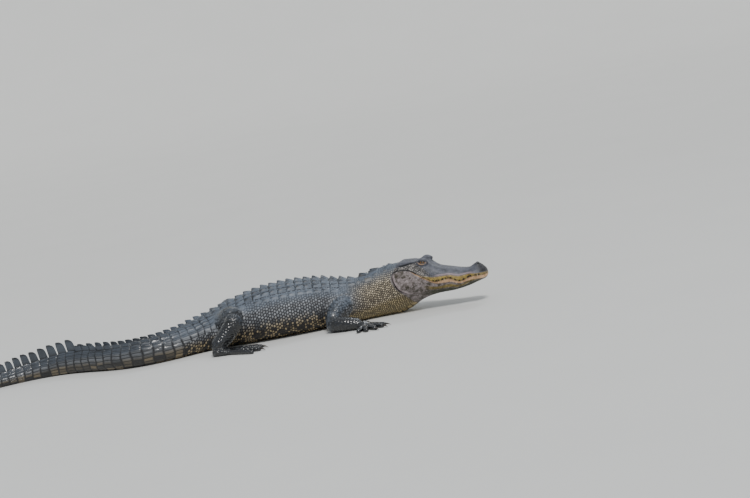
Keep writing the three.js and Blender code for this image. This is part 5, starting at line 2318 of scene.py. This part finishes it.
@dataclass(frozen=True)
class Studio:
    """Floor, lights and the camera at the photograph's angle, in metres and degrees."""

    elevation: float = 8.0
    roll: float = 10.6
    distance: float = 7.0
    lens: float = 96.0
    aim: tuple[float, float, float] = (0.638, -0.100, 0.250)
    reach: float = 40.0
    flat: float = 10.0
    bend: float = 5.0
    sky: Colour = (0.83, 0.87, 0.92)
    sky_power: float = 0.55
    suns: tuple[Sun, ...] = (
        Sun("key", (0.25, -0.75, 1.3), 2.0, 14, (1.0, 0.98, 0.95)),
        Sun("rim", (0.5, 1.0, 0.9), 1.1, 20, (0.9, 0.95, 1.0)),
    )

    def build(self, shift: Array) -> None:
        """Sets up floor, lights and camera.

        Args:
            shift: from the body's own origin to the shared frame, in mm.
        """
        self._floor()
        for sun in self.suns:
            self._hang(sun)
        world = bpy.data.worlds.new("studio")
        world.use_nodes = True
        colour, power = world.node_tree.nodes["Background"].inputs[:2]
        colour.default_value, power.default_value = (*self.sky, 1), self.sky_power
        bpy.context.scene.world = world
        self._camera(shift)

    def _floor(self) -> None:
        """Lays the floor, which rises in a bend to a wall far behind."""
        turn = np.radians(np.linspace(0, 90, 25))
        wall = self.flat + self.bend
        depth = np.concatenate([[-self.reach], self.flat + self.bend * np.sin(turn), [wall]])
        height = np.concatenate([[0.0], self.bend * (1 - np.cos(turn)), [3 * self.bend]])
        rows = len(depth)
        across = np.array([-self.reach, self.reach])
        corners = np.stack([np.tile(across, rows), np.repeat(depth, 2), np.repeat(height, 2)], -1)
        r = np.arange(rows - 1)[:, None] * 2
        faces = np.concatenate([r + (0, 1, 3), r + (0, 3, 2)])
        floor = to_object("floor", corners, faces)
        floor.data.materials.append(FloorFinish().make())

    def _hang(self, sun: Sun) -> None:
        """Hangs a light.

        Args:
            sun: its kind and place.
        """
        data = bpy.data.lights.new(sun.name, "SUN")
        data.energy, data.angle, data.color = sun.power, math.radians(sun.spread), sun.colour
        lamp = bpy.data.objects.new(sun.name, data)
        lamp.rotation_euler = (-Vector(sun.way)).to_track_quat("-Z", "Y").to_euler()
        bpy.context.scene.collection.objects.link(lamp)

    def _camera(self, shift: Array) -> None:
        """Sets the camera as the photograph was taken.

        Args:
            shift: from the body's own origin to the shared frame, in mm.
        """
        data = bpy.data.cameras.new("camera")
        data.sensor_width = 36
        data.lens = self.lens
        data.clip_end = 100
        camera = bpy.data.objects.new("camera", data)
        tilt = math.radians(self.elevation)
        away = Vector((0, -math.cos(tilt), math.sin(tilt)))
        aim = Vector(self.aim) + Vector((shift[0] * MM, shift[1] * MM, 0))
        facing = (-away).to_track_quat("-Z", "Y").to_matrix().to_4x4()
        roll = Matrix.Rotation(math.radians(-self.roll), 4, "Z")
        camera.matrix_world = Matrix.Translation(aim + away * self.distance) @ facing @ roll
        bpy.context.scene.collection.objects.link(camera)
        bpy.context.scene.camera = camera


def frame_shift(body: Body) -> Array:
    """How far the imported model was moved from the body's own origin.

    Args:
        body: the trunk.

    Returns:
        The shift in mm.
    """
    low, high = (np.array(corner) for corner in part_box("eye_right"))
    station, left, height = body.shape.eye
    return (low + high) / 2 / MM - body.place(station, RIGHT * left, height)


def main() -> None:
    """Builds every piece in order and reports it."""
    logging.basicConfig(level=logging.INFO, format="%(name)s: %(message)s", stream=sys.stdout)
    body = Body(BodyShape())
    shift = frame_shift(body)
    LOG.info("shift into the shared frame: %s mm", np.round(shift, 2))
    Studio().build(shift)
    skin = Skin(body, shift)
    pieces = [skin.build(), Eyes(body, shift).build()]
    horn = HornFinish("claw_horn", ink("191614"), ink("4a4038"), 0.3)
    pieces.append(Spikes("claws", skin.claws, horn, shift).build("limb_skin"))
    ivory = HornFinish("tooth_ivory", ink("b9ac8c"), ink("d8cdb2"), 0.25)
    pieces.append(Spikes("teeth", Teeth().spikes(body), ivory, shift).build("hide"))
    for piece in pieces:
        LOG.info("%s: %d triangles", piece.name, len(piece.data.polygons))


if __name__ == "__main__":
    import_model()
    main()
